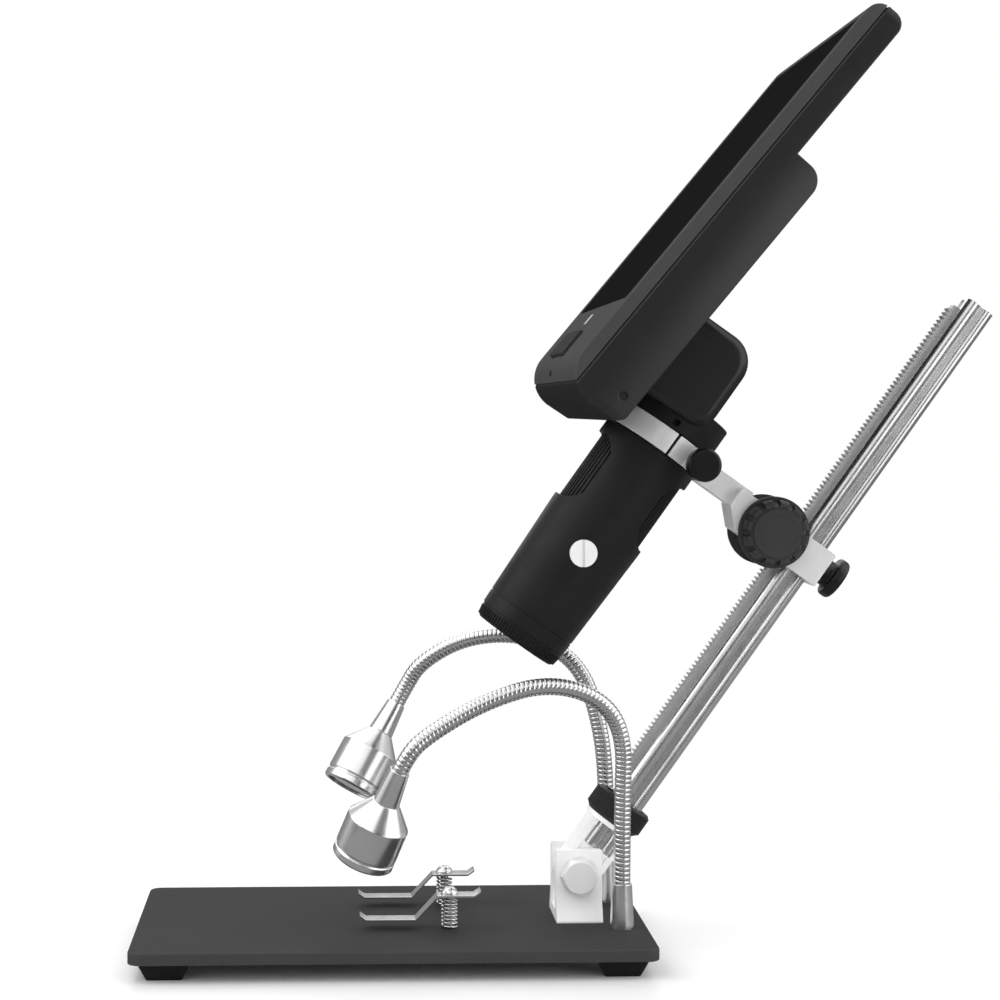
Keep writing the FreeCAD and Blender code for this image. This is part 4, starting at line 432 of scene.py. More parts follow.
@dataclass(frozen=True)
class Palette:
    """Every finish of the object, named as the record's material slots."""

    base_black: Finish = Finish("base_black", (0.042, 0.042, 0.044), 0.55, 0.0, Pattern.POWDER,
                                0.28, 0.30, 0.03, 0.35, 0.0, mirror=0.025, mirror_rough=0.5,
                                gloss_drift=0.03)
    foot_rubber: Finish = Finish("foot_rubber", (0.012, 0.012, 0.012), 0.75, 0.0, Pattern.RUBBER,
                                 0.5, 0.2, 0.15, 0.0, 0.1)
    steel_bright: Finish = Finish("steel_bright", (0.74, 0.74, 0.74), 0.20, 1.0, Pattern.BRUSHED,
                                  0.12, 0.10, 0.05, 0.2)
    aluminium_satin: Finish = Finish("aluminium_satin", (0.78, 0.78, 0.79), 0.38, 0.45,
                                     Pattern.BRUSHED, 0.16, 0.08, 0.03, 0.2)
    bracket_satin: Finish = Finish("aluminium_satin", (0.97, 0.97, 0.97), 0.42, 0.06,
                                   Pattern.BRUSHED, 0.16, 0.08, 0.02, 0.1, 0.3)
    bolt_steel: Finish = Finish("steel_bright", (0.92, 0.92, 0.92), 0.40, 0.30, Pattern.BRUSHED,
                                0.12, 0.06, 0.03, 0.1, 0.3)
    rack_steel: Finish = Finish("aluminium_satin", (0.50, 0.50, 0.51), 0.40, 0.6,
                                Pattern.BRUSHED, 0.16, 0.10, 0.04)
    column_chrome: Finish = Finish("column_chrome", (0.70, 0.70, 0.71), 0.27, 1.0,
                                   Pattern.POLISHED, 0.6, 0.02, 0.04)
    chrome_flex: Finish = Finish("chrome_flex", (0.66, 0.66, 0.66), 0.25, 1.0, Pattern.POLISHED,
                                 0.6, 0.02, 0.06)
    lamp_aluminium: Finish = Finish("lamp_aluminium", (0.74, 0.74, 0.74), 0.23, 1.0,
                                    Pattern.TURNED, 0.14, 0.08, 0.05, 0.2)
    lens_glass: Finish = Finish("lens_glass", (0.45, 0.46, 0.48), 0.03, 0.0, Pattern.POLISHED,
                                2.0, 0.0, 0.02, clear=1.0)
    reflector: Finish = Finish("reflector", (0.10, 0.10, 0.11), 0.16, 1.0, Pattern.POLISHED, 0.5,
                               0.1)
    circuit_board: Finish = Finish("circuit_board", (0.02, 0.09, 0.04), 0.45, 0.0,
                                   Pattern.MOULDED, 0.6, 0.1, 0.25, coat=0.4)
    knob_black: Finish = Finish("knob_black", (0.020, 0.020, 0.020), 0.40, 0.0, Pattern.MOULDED,
                                0.22, 0.14, 0.10, 0.35, 0.25)
    knob_grey: Finish = Finish("knob_black", (0.036, 0.036, 0.037), 0.50, 0.0, Pattern.MOULDED,
                               0.22, 0.14, 0.08, 0.25, 0.12)
    screw_black: Finish = Finish("knob_black", (0.006, 0.006, 0.006), 0.34, 0.0, Pattern.MOULDED,
                                 0.22, 0.10, 0.10, 0.15, 0.3)
    bush_brass: Finish = Finish("bush_brass", (0.72, 0.48, 0.20), 0.28, 1.0, Pattern.TURNED, 0.1,
                                0.1)
    housing_black: Finish = Finish("housing_black", (0.0120, 0.0120, 0.0120), 0.42, 0.0,
                                   Pattern.MOULDED, 0.20, 0.13, 0.10, 0.22, 0.13)
    shell_black: Finish = Finish("housing_black", (0.0115, 0.0115, 0.0115), 0.40, 0.0,
                                 Pattern.MOULDED, 0.20, 0.10, 0.08, 0.22, 0.0, mirror=0.042,
                                 mirror_rough=0.34)
    key_black: Finish = Finish("knob_black", (0.030, 0.030, 0.031), 0.45, 0.0, Pattern.MOULDED,
                               0.20, 0.12, 0.08, 0.25, 0.0, mirror=0.02, mirror_rough=0.4)
    bezel_grey: Finish = Finish("bezel_grey", (0.046, 0.046, 0.048), 0.48, 0.0, Pattern.MOULDED,
                                0.20, 0.12, 0.06, 0.2, 0.0, mirror=0.03, mirror_rough=0.4)
    grip_rubber: Finish = Finish("grip_rubber", (0.010, 0.010, 0.010), 0.55, 0.0, Pattern.RUBBER,
                                 0.3, 0.18, 0.10, 0.0, 0.2)
    led_white: Finish = Finish("led_white", (0.85, 0.80, 0.55), 0.4, 0.0, Pattern.MOULDED, 0.3,
                               0.05)
    screen_gloss: Finish = Finish("screen_gloss", (0.0045, 0.0045, 0.0050), 0.16, 0.0,
                                  Pattern.POLISHED, 3.0, 0.0, 0.05, 0.0, 0.0, mirror=0.006)
    panel_dark: Finish = Finish("panel_dark", (0.01, 0.01, 0.011), 0.4, 0.0, Pattern.POLISHED,
                                1.0, 0.0)
    indicator_light: Finish = Finish("indicator_light", (0.42, 0.42, 0.42), 0.35, 0.0,
                                     Pattern.POLISHED, 0.5, 0.03, 0.05, 0.0, 0.0, mirror=0.02)
    battery_wrap: Finish = Finish("battery_wrap", (0.12, 0.13, 0.16), 0.4, 0.0, Pattern.POLISHED,
                                  2.0, 0.05, coat=0.3)


class Growth(Nodes):
    """One Geometry Nodes tree, its named inputs, and the mesh that it grows."""

    def __init__(self, name: str) -> None:
        """Start a tree with a material input and a geometry output.

        Args:
            name: The tree's name.
        """
        super().__init__(bpy.data.node_groups.new(name, "GeometryNodeTree"))
        self.tree.interface.new_socket("Geometry", in_out="OUTPUT",
                                       socket_type="NodeSocketGeometry")
        self.names: dict[str, str] = {}
        self.entry = self.tree.nodes.new("NodeGroupInput")
        self.exit = self.tree.nodes.new("NodeGroupOutput")
        self.add_input("Material", "NodeSocketMaterial")

    def add_input(self, name: str, kind: str = "NodeSocketFloat") -> None:
        """Give the tree a named input."""
        socket = self.tree.interface.new_socket(name, in_out="INPUT", socket_type=kind)
        self.names[name] = socket.identifier

    def read(self, name: str) -> Any:
        """The socket that carries a named input."""
        return self.entry.outputs[name]

    def end(self, geometry: Any, smooth: bool = True) -> None:
        """Close the tree: realize instances, set shading and material.

        Args:
            geometry: The socket of the geometry.
            smooth: True for smooth shading.
        """
        real = self.node("GeometryNodeRealizeInstances")
        shade = self.node("GeometryNodeSetShadeSmooth")
        shade.inputs["Shade Smooth"].default_value = smooth
        paint = self.node("GeometryNodeSetMaterial")
        self.join(geometry, real.inputs["Geometry"])
        self.join(real.outputs["Geometry"], shade.inputs["Geometry"])
        self.join(shade.outputs["Geometry"], paint.inputs["Geometry"])
        self.join(self.read("Material"), paint.inputs["Material"])
        self.join(paint.outputs["Geometry"], self.exit.inputs["Geometry"])

    def grow(self, name: str, values: dict[str, Any]) -> bpy.types.Mesh:
        """Run the tree on an empty mesh.

        Args:
            name: The name of the mesh that is made.
            values: A value for each named input.

        Returns:
            The plain mesh, in the tree's own millimetres.
        """
        host = bpy.data.objects.new(name, bpy.data.meshes.new(name))
        bpy.context.scene.collection.objects.link(host)
        modifier = host.modifiers.new(name, "NODES")
        modifier.node_group = self.tree
        for key, value in values.items():
            modifier[self.names[key]] = value
        bpy.context.view_layer.update()
        graph = bpy.context.evaluated_depsgraph_get()
        mesh = bpy.data.meshes.new_from_object(host.evaluated_get(graph))
        host.modifiers.remove(modifier)
        bpy.data.objects.remove(host)
        return mesh


def wound_tube_tree() -> Growth:
    """Tree of a wound metal conduit: a tube along a path, with one helical rib groove.

    Returns:
        The tree, whose inputs are Path, Radius, Groove, Ribs, Steps and Sides.
    """
    tree = Growth("wound_tube")
    tree.add_input("Path", "NodeSocketObject")
    for name in ("Radius", "Groove"):
        tree.add_input(name)
    for name in ("Ribs", "Steps", "Sides"):
        tree.add_input(name, "NodeSocketInt")
    path = tree.node("GeometryNodeObjectInfo")
    tree.join(tree.read("Path"), path.inputs["Object"])
    even = tree.node("GeometryNodeResampleCurve")
    tree.join(path.outputs["Geometry"], even.inputs["Curve"])
    count = tree.maths("ADD", tree.maths("MULTIPLY", tree.read("Ribs"), tree.read("Steps")), 1.0)
    tree.join(count, even.inputs["Count"])
    along = tree.node("GeometryNodeCaptureAttribute", domain="POINT")
    along.capture_items.new("FLOAT", "Along")
    spline = tree.node("GeometryNodeSplineParameter")
    tree.join(even.outputs["Curve"], along.inputs["Geometry"])
    tree.join(spline.outputs["Factor"], along.inputs["Along"])
    ring = tree.node("GeometryNodeCurvePrimitiveCircle")
    tree.join(tree.read("Sides"), ring.inputs["Resolution"])
    tree.join(tree.read("Radius"), ring.inputs["Radius"])
    around = tree.node("GeometryNodeCaptureAttribute", domain="POINT")
    around.capture_items.new("FLOAT", "Around")
    tree.join(ring.outputs["Curve"], around.inputs["Geometry"])
    tree.join(spline.outputs["Factor"], around.inputs["Around"])
    tube = tree.node("GeometryNodeCurveToMesh")
    tube.inputs["Fill Caps"].default_value = True
    tree.join(along.outputs["Geometry"], tube.inputs["Curve"])
    tree.join(around.outputs["Geometry"], tube.inputs["Profile Curve"])
    turns = tree.maths("MULTIPLY", along.outputs["Along"], tree.read("Ribs"))
    phase = tree.maths("FRACT", tree.maths("ADD", turns, around.outputs["Around"]))
    centred = tree.maths("ABSOLUTE", tree.maths("SUBTRACT", tree.maths("MULTIPLY", phase, 2.0),
                                                1.0))
    depth = tree.maths("MULTIPLY", tree.maths("POWER", centred, 6.0), tree.read("Groove"))
    inward = tree.node("ShaderNodeVectorMath", operation="SCALE")
    normal = tree.node("GeometryNodeInputNormal")
    tree.join(normal.outputs["Normal"], inward.inputs[0])
    tree.join(tree.maths("MULTIPLY", depth, -1.0), inward.inputs["Scale"])
    shaped = tree.node("GeometryNodeSetPosition")
    tree.join(tube.outputs["Mesh"], shaped.inputs["Geometry"])
    tree.join(inward.outputs["Vector"], shaped.inputs["Offset"])
    tree.end(shaped.outputs["Geometry"])
    return tree


def coil_tree() -> Growth:
    """Tree of a round-wire coil spring along Z.

    Returns:
        The tree, whose inputs are Turns, Radius, Height and Wire.
    """
    tree = Growth("coil")
    for name in ("Turns", "Radius", "Height", "Wire"):
        tree.add_input(name)
    coil = tree.node("GeometryNodeCurveSpiral")
    coil.inputs["Resolution"].default_value = 24
    for name, socket in (("Turns", "Rotations"), ("Radius", "Start Radius"),
                         ("Radius", "End Radius"), ("Height", "Height")):
        tree.join(tree.read(name), coil.inputs[socket])
    ring = tree.node("GeometryNodeCurvePrimitiveCircle")
    ring.inputs["Resolution"].default_value = 10
    tree.join(tree.read("Wire"), ring.inputs["Radius"])
    wire = tree.node("GeometryNodeCurveToMesh")
    wire.inputs["Fill Caps"].default_value = True
    tree.join(coil.outputs["Curve"], wire.inputs["Curve"])
    tree.join(ring.outputs["Curve"], wire.inputs["Profile Curve"])
    tree.end(wire.outputs["Mesh"])
    return tree


def rib_ring_tree() -> Growth:
    """Tree of slim round ribs that stand in a circle round Z.

    Returns:
        The tree, whose inputs are Count, Radius, Rib, Length and Level.
    """
    tree = Growth("rib_ring")
    tree.add_input("Count", "NodeSocketInt")
    for name in ("Radius", "Rib", "Length", "Level"):
        tree.add_input(name)
    ring = tree.node("GeometryNodeMeshCircle")
    tree.join(tree.read("Count"), ring.inputs["Vertices"])
    tree.join(tree.read("Radius"), ring.inputs["Radius"])
    lift = tree.node("ShaderNodeCombineXYZ")
    tree.join(tree.read("Level"), lift.inputs["Z"])
    raised = tree.node("GeometryNodeSetPosition")
    tree.join(ring.outputs["Mesh"], raised.inputs["Geometry"])
    tree.join(lift.outputs["Vector"], raised.inputs["Offset"])
    rib = tree.node("GeometryNodeMeshCylinder")
    rib.inputs["Vertices"].default_value = 8
    tree.join(tree.read("Rib"), rib.inputs["Radius"])
    tree.join(tree.read("Length"), rib.inputs["Depth"])
    copies = tree.node("GeometryNodeInstanceOnPoints")
    tree.join(raised.outputs["Geometry"], copies.inputs["Points"])
    tree.join(rib.outputs["Mesh"], copies.inputs["Instance"])
    tree.end(copies.outputs["Instances"], smooth=False)
    return tree


def round_tree() -> Growth:
    """Tree of equal copies of one object, turned in even steps round Z.

    Returns:
        The tree, whose inputs are Item, Count and Start, the first copy's place in steps.
    """
    tree = Growth("round")
    tree.add_input("Item", "NodeSocketObject")
    tree.add_input("Count", "NodeSocketInt")
    tree.add_input("Start")
    item = tree.node("GeometryNodeObjectInfo")
    tree.join(tree.read("Item"), item.inputs["Object"])
    points = tree.node("GeometryNodePoints")
    tree.join(tree.read("Count"), points.inputs["Count"])
    index = tree.node("GeometryNodeInputIndex")
    steps = tree.maths("ADD", index.outputs["Index"], tree.read("Start"))
    step = tree.maths("DIVIDE", 2 * math.pi, tree.read("Count"))
    turn = tree.node("ShaderNodeCombineXYZ")
    tree.join(tree.maths("MULTIPLY", steps, step), turn.inputs["Z"])
    copies = tree.node("GeometryNodeInstanceOnPoints")
    tree.join(points.outputs[0], copies.inputs["Points"])
    tree.join(item.outputs["Geometry"], copies.inputs["Instance"])
    tree.join(turn.outputs["Vector"], copies.inputs["Rotation"])
    tree.end(copies.outputs["Instances"])
    return tree


def turned_mesh(name: str, profile: Profile, segments: int = 96,
                ring: bool = False) -> bpy.types.Mesh:
    """Turn an outline about Z.

    Args:
        name: The mesh's name.
        profile: Radius and height of each point, counter-clockwise round the section.
        segments: How many flats the circle has.
        ring: True for a closed section, False where both ends are on the axis.

    Returns:
        The closed mesh in millimetres.
    """
    made = bmesh.new()
    rows = []
    for radius, height in profile:
        if radius < TINY:
            rows.append([made.verts.new((0.0, 0.0, height))])
            continue
        rows.append([made.verts.new((radius * math.cos(2 * math.pi * i / segments),
                                     radius * math.sin(2 * math.pi * i / segments), height))
                     for i in range(segments)])
    pairs = list(zip(rows, rows[1:])) + ([(rows[-1], rows[0])] if ring else [])
    for lower, upper in pairs:
        for i in range(segments):
            j = (i + 1) % segments
            corners = [lower[i % len(lower)], lower[j % len(lower)], upper[j % len(upper)],
                       upper[i % len(upper)]]
            made.faces.new(list(dict.fromkeys(corners)))
    bmesh.ops.recalc_face_normals(made, faces=made.faces)
    mesh = bpy.data.meshes.new(name)
    made.to_mesh(mesh)
    made.free()
    return mesh


def shade(mesh: bpy.types.Mesh, angle_deg: float = 38.0) -> None:
    """Shade a mesh smooth over gentle edges, with its broad faces kept flat.

    Args:
        mesh: The mesh, whose corners each take the area-weighted normal of the faces there.
        angle_deg: Faces that turn by more than this angle don't share a normal.
    """
    mesh.polygons.foreach_set("use_smooth", [True] * len(mesh.polygons))
    normals = [polygon.normal.copy() for polygon in mesh.polygons]
    areas = [polygon.area for polygon in mesh.polygons]
    around: list[list[int]] = [[] for _ in mesh.vertices]
    for polygon in mesh.polygons:
        for index in polygon.vertices:
            around[index].append(polygon.index)
    limit = math.cos(math.radians(angle_deg))
    corners = []
    for polygon in mesh.polygons:
        own = normals[polygon.index]
        for index in polygon.vertices:
            total = own * 1e-12
            for other in around[index]:
                if normals[other].dot(own) > limit:
                    total = total + normals[other] * areas[other]
            corners.append(total.normalized())
    mesh.normals_split_custom_set(corners)


def rounded_corners(profile: Profile, radius: float, steps: int = 3) -> list[tuple[float, float]]:
    """Round each corner of an outline that is off the axis.

    Args:
        profile: The outline's points.
        radius: The most that a corner is cut back along its sides, in millimetres.
        steps: How many short sides replace the corner.

    Returns:
        The rounded outline.
    """
    points = [Vector(p) for p in profile]
    made = [tuple(points[0])]
    for before, corner, after in zip(points, points[1:], points[2:]):
        back, on = before - corner, after - corner
        cut = min(radius, back.length * MOST_CUT, on.length * MOST_CUT)
        straight = abs(back.normalized().dot(on.normalized())) > NEARLY_STRAIGHT
        if cut < LEAST_CUT or corner.x < TINY or straight:
            made.append(tuple(corner))
            continue
        start, end = corner + back.normalized() * cut, corner + on.normalized() * cut
        for i in range(steps + 1):
            t = i / steps
            made.append(tuple(start * (1 - t) ** 2 + corner * 2 * t * (1 - t) + end * t ** 2))
    return made + [tuple(points[-1])]


def rounded_outline(corners: Sequence[tuple[float, float, float]],
                    steps: int = 10) -> list[Vector]:
    """Round the corners of a closed outline with true arcs.

    Args:
        corners: Each corner's two coordinates and its radius, counter-clockwise.
        steps: How many short sides an arc has.

    Returns:
        The outline's points.
    """
    made = []
    for i, (x, z, radius) in enumerate(corners):
        corner = Vector((x, z))
        if radius <= 0.0:
            made.append(corner)
            continue
        before = (Vector(corners[i - 1][:2]) - corner).normalized()
        after = (Vector(corners[(i + 1) % len(corners)][:2]) - corner).normalized()
        half = before.angle(after) / 2
        centre = corner + (before + after).normalized() * radius / math.sin(half)
        start = corner + before * radius / math.tan(half) - centre
        end = corner + after * radius / math.tan(half) - centre
        sweep = start.angle_signed(end)
        for k in range(steps + 1):
            made.append(centre + Matrix.Rotation(-sweep * k / steps, 2) @ start)
    return made


def pillow_mesh(name: str, outline: Sequence[Vector], half: float, rim: float,
                steps: int = 6) -> bpy.types.Mesh:
    """A slab across Y with a closed outline in X and Z and a rounded rim.

    Args:
        name: The mesh's name.
        outline: The outline's points, counter-clockwise.
        half: Half of its width.
        rim: The rim's radius.
        steps: How many short faces round the rim.

    Returns:
        The closed mesh in millimetres.
    """
    count = len(outline)
    normals = []
    for i, point in enumerate(outline):
        before, after = point - outline[i - 1], outline[(i + 1) % count] - point
        turns = [Vector((v.y, -v.x)).normalized() for v in (before, after)]
        total = turns[0] + turns[1]
        normals.append(total / max(0.5, total.length_squared / 2))
    levels = []
    for k in range(steps + 1):
        turn = math.pi / 2 * k / steps
        levels.append((rim * (1 - math.sin(turn)), -half + rim * (1 - math.cos(turn))))
    levels += [(inset, -level) for inset, level in reversed(levels)]
    made = bmesh.new()
    rows = []
    for inset, level in levels:
        places = [p - n * inset for p, n in zip(outline, normals)]
        rows.append([made.verts.new((p.x, level, p.y)) for p in places])
    made.faces.new(rows[0])
    made.faces.new(list(reversed(rows[-1])))
    for lower, upper in zip(rows, rows[1:]):
        for i in range(count):
            j = (i + 1) % count
            made.faces.new((lower[i], upper[i], upper[j], lower[j]))
    bmesh.ops.recalc_face_normals(made, faces=made.faces)
    mesh = bpy.data.meshes.new(name)
    made.to_mesh(mesh)
    made.free()
    return mesh


def cut_box(mesh: bpy.types.Mesh, centre: Sequence[float],
            size: Sequence[float]) -> bpy.types.Mesh:
    """Cut a box-shaped recess out of a mesh.

    Args:
        mesh: The mesh to cut, in millimetres.
        centre: The recess's centre.
        size: Its size along the three axes.

    Returns:
        The cut mesh.
    """
    tool = bmesh.new()
    bmesh.ops.create_cube(tool, size=1.0, matrix=Matrix.Translation(centre)
                          @ Matrix.Diagonal((*size, 1.0)))
    cutter_mesh = bpy.data.meshes.new("cutter")
    tool.to_mesh(cutter_mesh)
    tool.free()
    pair = [bpy.data.objects.new(n, m) for n, m in (("host", mesh), ("cutter", cutter_mesh))]
    for each in pair:
        bpy.context.scene.collection.objects.link(each)
    modifier = pair[0].modifiers.new("cut", "BOOLEAN")
    modifier.object = pair[1]
    modifier.solver = "EXACT"
    bpy.context.view_layer.update()
    graph = bpy.context.evaluated_depsgraph_get()
    made = bpy.data.meshes.new_from_object(pair[0].evaluated_get(graph))
    for each in pair:
        bpy.data.objects.remove(each)
    return made


@dataclass
class Workshop:
    """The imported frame, the finishes and the calls that turn meshes into finished pieces."""

    MERGE_MM: ClassVar[float] = 0.002
    FLAT_DEG: ClassVar[float] = 0.4
    SHARP_DEG: ClassVar[float] = 32.0
    frame: dict[str, Any]
    palette: Palette = field(default_factory=Palette)
    paints: dict[str, bpy.types.Material] = field(default_factory=dict)

    def body(self, node: str) -> str:
        """The body that a CAD node rides on."""
        groups = self.frame["record"]["behaviour"]["bodies"]
        return next(name for name, members in groups.items() if node in members)

    def joint(self, name: str) -> dict[str, Any]:
        """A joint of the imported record."""
        return next(j for j in self.frame["joints"] if j["name"] == name)

    def joint_place(self, name: str) -> Placement:
        """The frame whose Z is a hinge's axis and whose origin is on it."""
        joint = self.joint(name)
        return Placement.along(joint["pos_m"], joint["axis"])

    def paint(self, finish: Finish, place: Placement = UPRIGHT,
              suffix: str = "") -> bpy.types.Material:
        """The material of a finish in a frame, built once.

        Args:
            finish: The finish.
            place: The frame that it follows.
            suffix: Added to the material's name where the finish has several frames.

        Returns:
            The material.
        """
        key = finish.slot + suffix
        if key not in self.paints:
            self.paints[key] = finish.build(place, suffix)
        return self.paints[key]

    def finish_piece(self, mesh: bpy.types.Mesh, name: str, body: str,
                     material: bpy.types.Material,
                     replaces: Sequence[str] = ()) -> bpy.types.Object:
        """Make a mesh a finished piece.

        Args:
            mesh: The mesh, already in its place in metres.
            name: The piece's name.
            body: The CAD body that it moves with.
            material: The material that it wears.
            replaces: The CAD nodes that it stands for.

        Returns:
            The piece's object.
        """
        mesh.materials.clear()
        mesh.materials.append(material)
        mesh.name = name
        piece = bpy.data.objects.new(name, mesh)
        bpy.context.scene.collection.objects.link(piece)
        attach(piece, body)
        if replaces:
            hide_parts(*replaces)
        LOG.info("%s: %d faces on %s", name, len(mesh.polygons), body)
        return piece

    def soften(self, node: str, finish: Finish, edge: float, place: Placement = UPRIGHT,
               suffix: str = "", segments: int = 2, slice_mm: float = 0.0) -> bpy.types.Object:
        """Stand a copy with rounded outer edges in for a CAD node.

        Args:
            node: The CAD node.
            finish: Its finish.
            edge: How far its sharp outer edges are cut back, in millimetres.
            place: The frame that the finish follows.
            suffix: Added to the material's name where the finish has several frames.
            segments: How many short faces round an edge.
            slice_mm: How far apart a long piece's faces are cut across the frame's Z, if at all.

        Returns:
            The finished piece.
        """
        made = bmesh.new()
        made.from_mesh(self.frame["nodes"][node].data)
        bmesh.ops.remove_doubles(made, verts=made.verts, dist=self.MERGE_MM * MM)
        bmesh.ops.dissolve_limit(made, angle_limit=math.radians(self.FLAT_DEG),
                                 verts=made.verts, edges=made.edges)
        if edge > 0.0:
            sharp = [e for e in made.edges if e.is_manifold and e.is_convex
                     and e.calc_face_angle() > math.radians(self.SHARP_DEG)]
            bmesh.ops.bevel(made, geom=sharp, offset=edge * MM, segments=segments, profile=0.5,
                            affect="EDGES", clamp_overlap=False, loop_slide=True)
        if slice_mm > 0.0:
            levels = [place.z_axis.dot(vertex.co - place.origin) for vertex in made.verts]
            level = min(levels) + slice_mm * MM
            while level < max(levels):
                bmesh.ops.bisect_plane(made, geom=made.verts[:] + made.edges[:] + made.faces[:],
                                       plane_co=place.origin + place.z_axis * level,
                                       plane_no=place.z_axis, dist=TINY)
                level += slice_mm * MM
        mesh = bpy.data.meshes.new(node + "_soft")
        made.to_mesh(mesh)
        made.free()
        shade(mesh)
        return self.finish_piece(mesh, node + "_soft", self.body(node),
                                 self.paint(finish, place, suffix), [node])

    def turned(self, name: str, body: str, profile: Profile, finish: Finish, place: Placement,
               suffix: str, replaces: Sequence[str] = (), ring: bool = False,
               edge: float = 0.3) -> bpy.types.Object:
        """Turn a rounded outline about a frame's Z and finish it as a piece.

        Args:
            name: The piece's name.
            body: The CAD body that it moves with.
            profile: Radius and height of each point of the section.
            finish: Its finish.
            place: The frame that it is turned in.
            suffix: Added to the material's name.
            replaces: The CAD nodes that it stands for.
            ring: True for a closed section, False where both ends are on the axis.
            edge: How far the outline's corners are cut back, in millimetres.

        Returns:
            The finished piece.
        """
        outline = rounded_corners(list(profile) + ([profile[0]] if ring else []), edge)
        mesh = turned_mesh(name, outline[:-1] if ring else outline, ring=ring)
        mesh.transform(place.matrix())
        shade(mesh)
        return self.finish_piece(mesh, name, body, self.paint(finish, place, suffix),
                                 replaces)


@dataclass
class Base:
    """Base plate with its feet and the fasteners under it."""

    plate_edge: float = 0.35
    foot_edge: float = 0.6
    screw_edge: float = 0.25
    nut_edge: float = 0.3

    def build(self, shop: Workshop) -> None:
        """Round the plate's and feet's edges and dress the fasteners.

        Args:
            shop: The workshop.
        """
        looks = shop.palette
        shop.soften("base_plate", looks.base_black, self.plate_edge)
        shop.soften("base_feet", looks.foot_rubber, self.foot_edge)
        shop.soften("foot_screws", looks.steel_bright, self.screw_edge)
        shop.soften("bracket_screws", looks.steel_bright, 0.0)
        shop.soften("gooseneck_nuts", looks.steel_bright, self.nut_edge)


@dataclass
class TiltBracket:
    """U-bracket, hexagon bolt, washers, nut and the block that tilts between the ears."""

    ear_edge: float = 0.35
    block_edge: float = 0.3
    bolt_edge: float = 0.25

    def build(self, shop: Workshop) -> None:
        """Round the edges and give the machined faces their brushing.

        Args:
            shop: The workshop.
        """
        looks = shop.palette
        tilt = shop.joint_place("clamping_nut_turn")
        shop.soften("tilt_bracket", looks.bracket_satin, self.ear_edge, UPRIGHT, "_bracket")
        shop.soften("pivot_block", looks.bracket_satin, self.block_edge, tilt, "_block")
        bolt = shop.joint_place("stand_tilt")
        for node in ("tilt_bolt", "tilt_washers", "tilt_nut"):
            shop.soften(node, looks.bolt_steel, self.bolt_edge, bolt, "_bolt")


@dataclass
class Column:
    """Extruded column with its rack, and the ribbed clamping nut at its foot."""

    column_edge: float = 0.2
    screw_edge: float = 0.15
    nut_r: float = 11.95
    nut_rib: float = 0.42
    nut_ribs: int = 72
    nut_height: float = 10.0
    nut_bore: float = 9.5
    nut_chamfer: float = 1.4
    nut_seat_r: float = 10.5
    nut_seat: float = 8.3
    nut_top_cut: float = 0.9
    nut_top_in: float = 0.7
    rib_start: float = 0.2
    rib_short: float = 1.2
    slice_mm: float = 12.0

    def build(self, shop: Workshop) -> None:
        """Dress the column and make the nut's ribs.

        Args:
            shop: The workshop.
        """
        looks = shop.palette
        tilt = shop.joint_place("clamping_nut_turn")
        shop.soften("column", looks.column_chrome, self.column_edge, tilt, "_column",
                    slice_mm=self.slice_mm)
        shop.soften("rack", looks.rack_steel, 0.0, tilt, "_rack", slice_mm=self.slice_mm)
        shop.soften("rack_screws", looks.steel_bright, self.screw_edge)
        foot = tilt.moved(-self.nut_height / 2)
        profile = [(self.nut_bore, self.nut_seat), (self.nut_seat_r, self.nut_seat),
                   (self.nut_seat_r, 0.0), (self.nut_r - self.nut_chamfer, 0.0),
                   (self.nut_r, self.nut_chamfer),
                   (self.nut_r, self.nut_height - self.nut_top_cut),
                   (self.nut_r - self.nut_top_in, self.nut_height),
                   (self.nut_bore, self.nut_height)]
        shop.turned("column_nut_body", "clamping_nut", profile, looks.knob_black, foot, "_nut",
                    ["column_nut"], ring=True)
        length = self.nut_height - self.nut_chamfer - self.rib_short
        mesh = rib_ring_tree().grow("column_nut_ribs", {
            "Material": shop.paint(looks.knob_black, foot, "_nut"), "Count": self.nut_ribs,
            "Radius": self.nut_r, "Rib": self.nut_rib, "Length": length,
            "Level": self.nut_chamfer + self.rib_start + length / 2})
        mesh.transform(foot.matrix())
        shop.finish_piece(mesh, "column_nut_ribs", "clamping_nut",
                          shop.paint(looks.knob_black, foot, "_nut"))


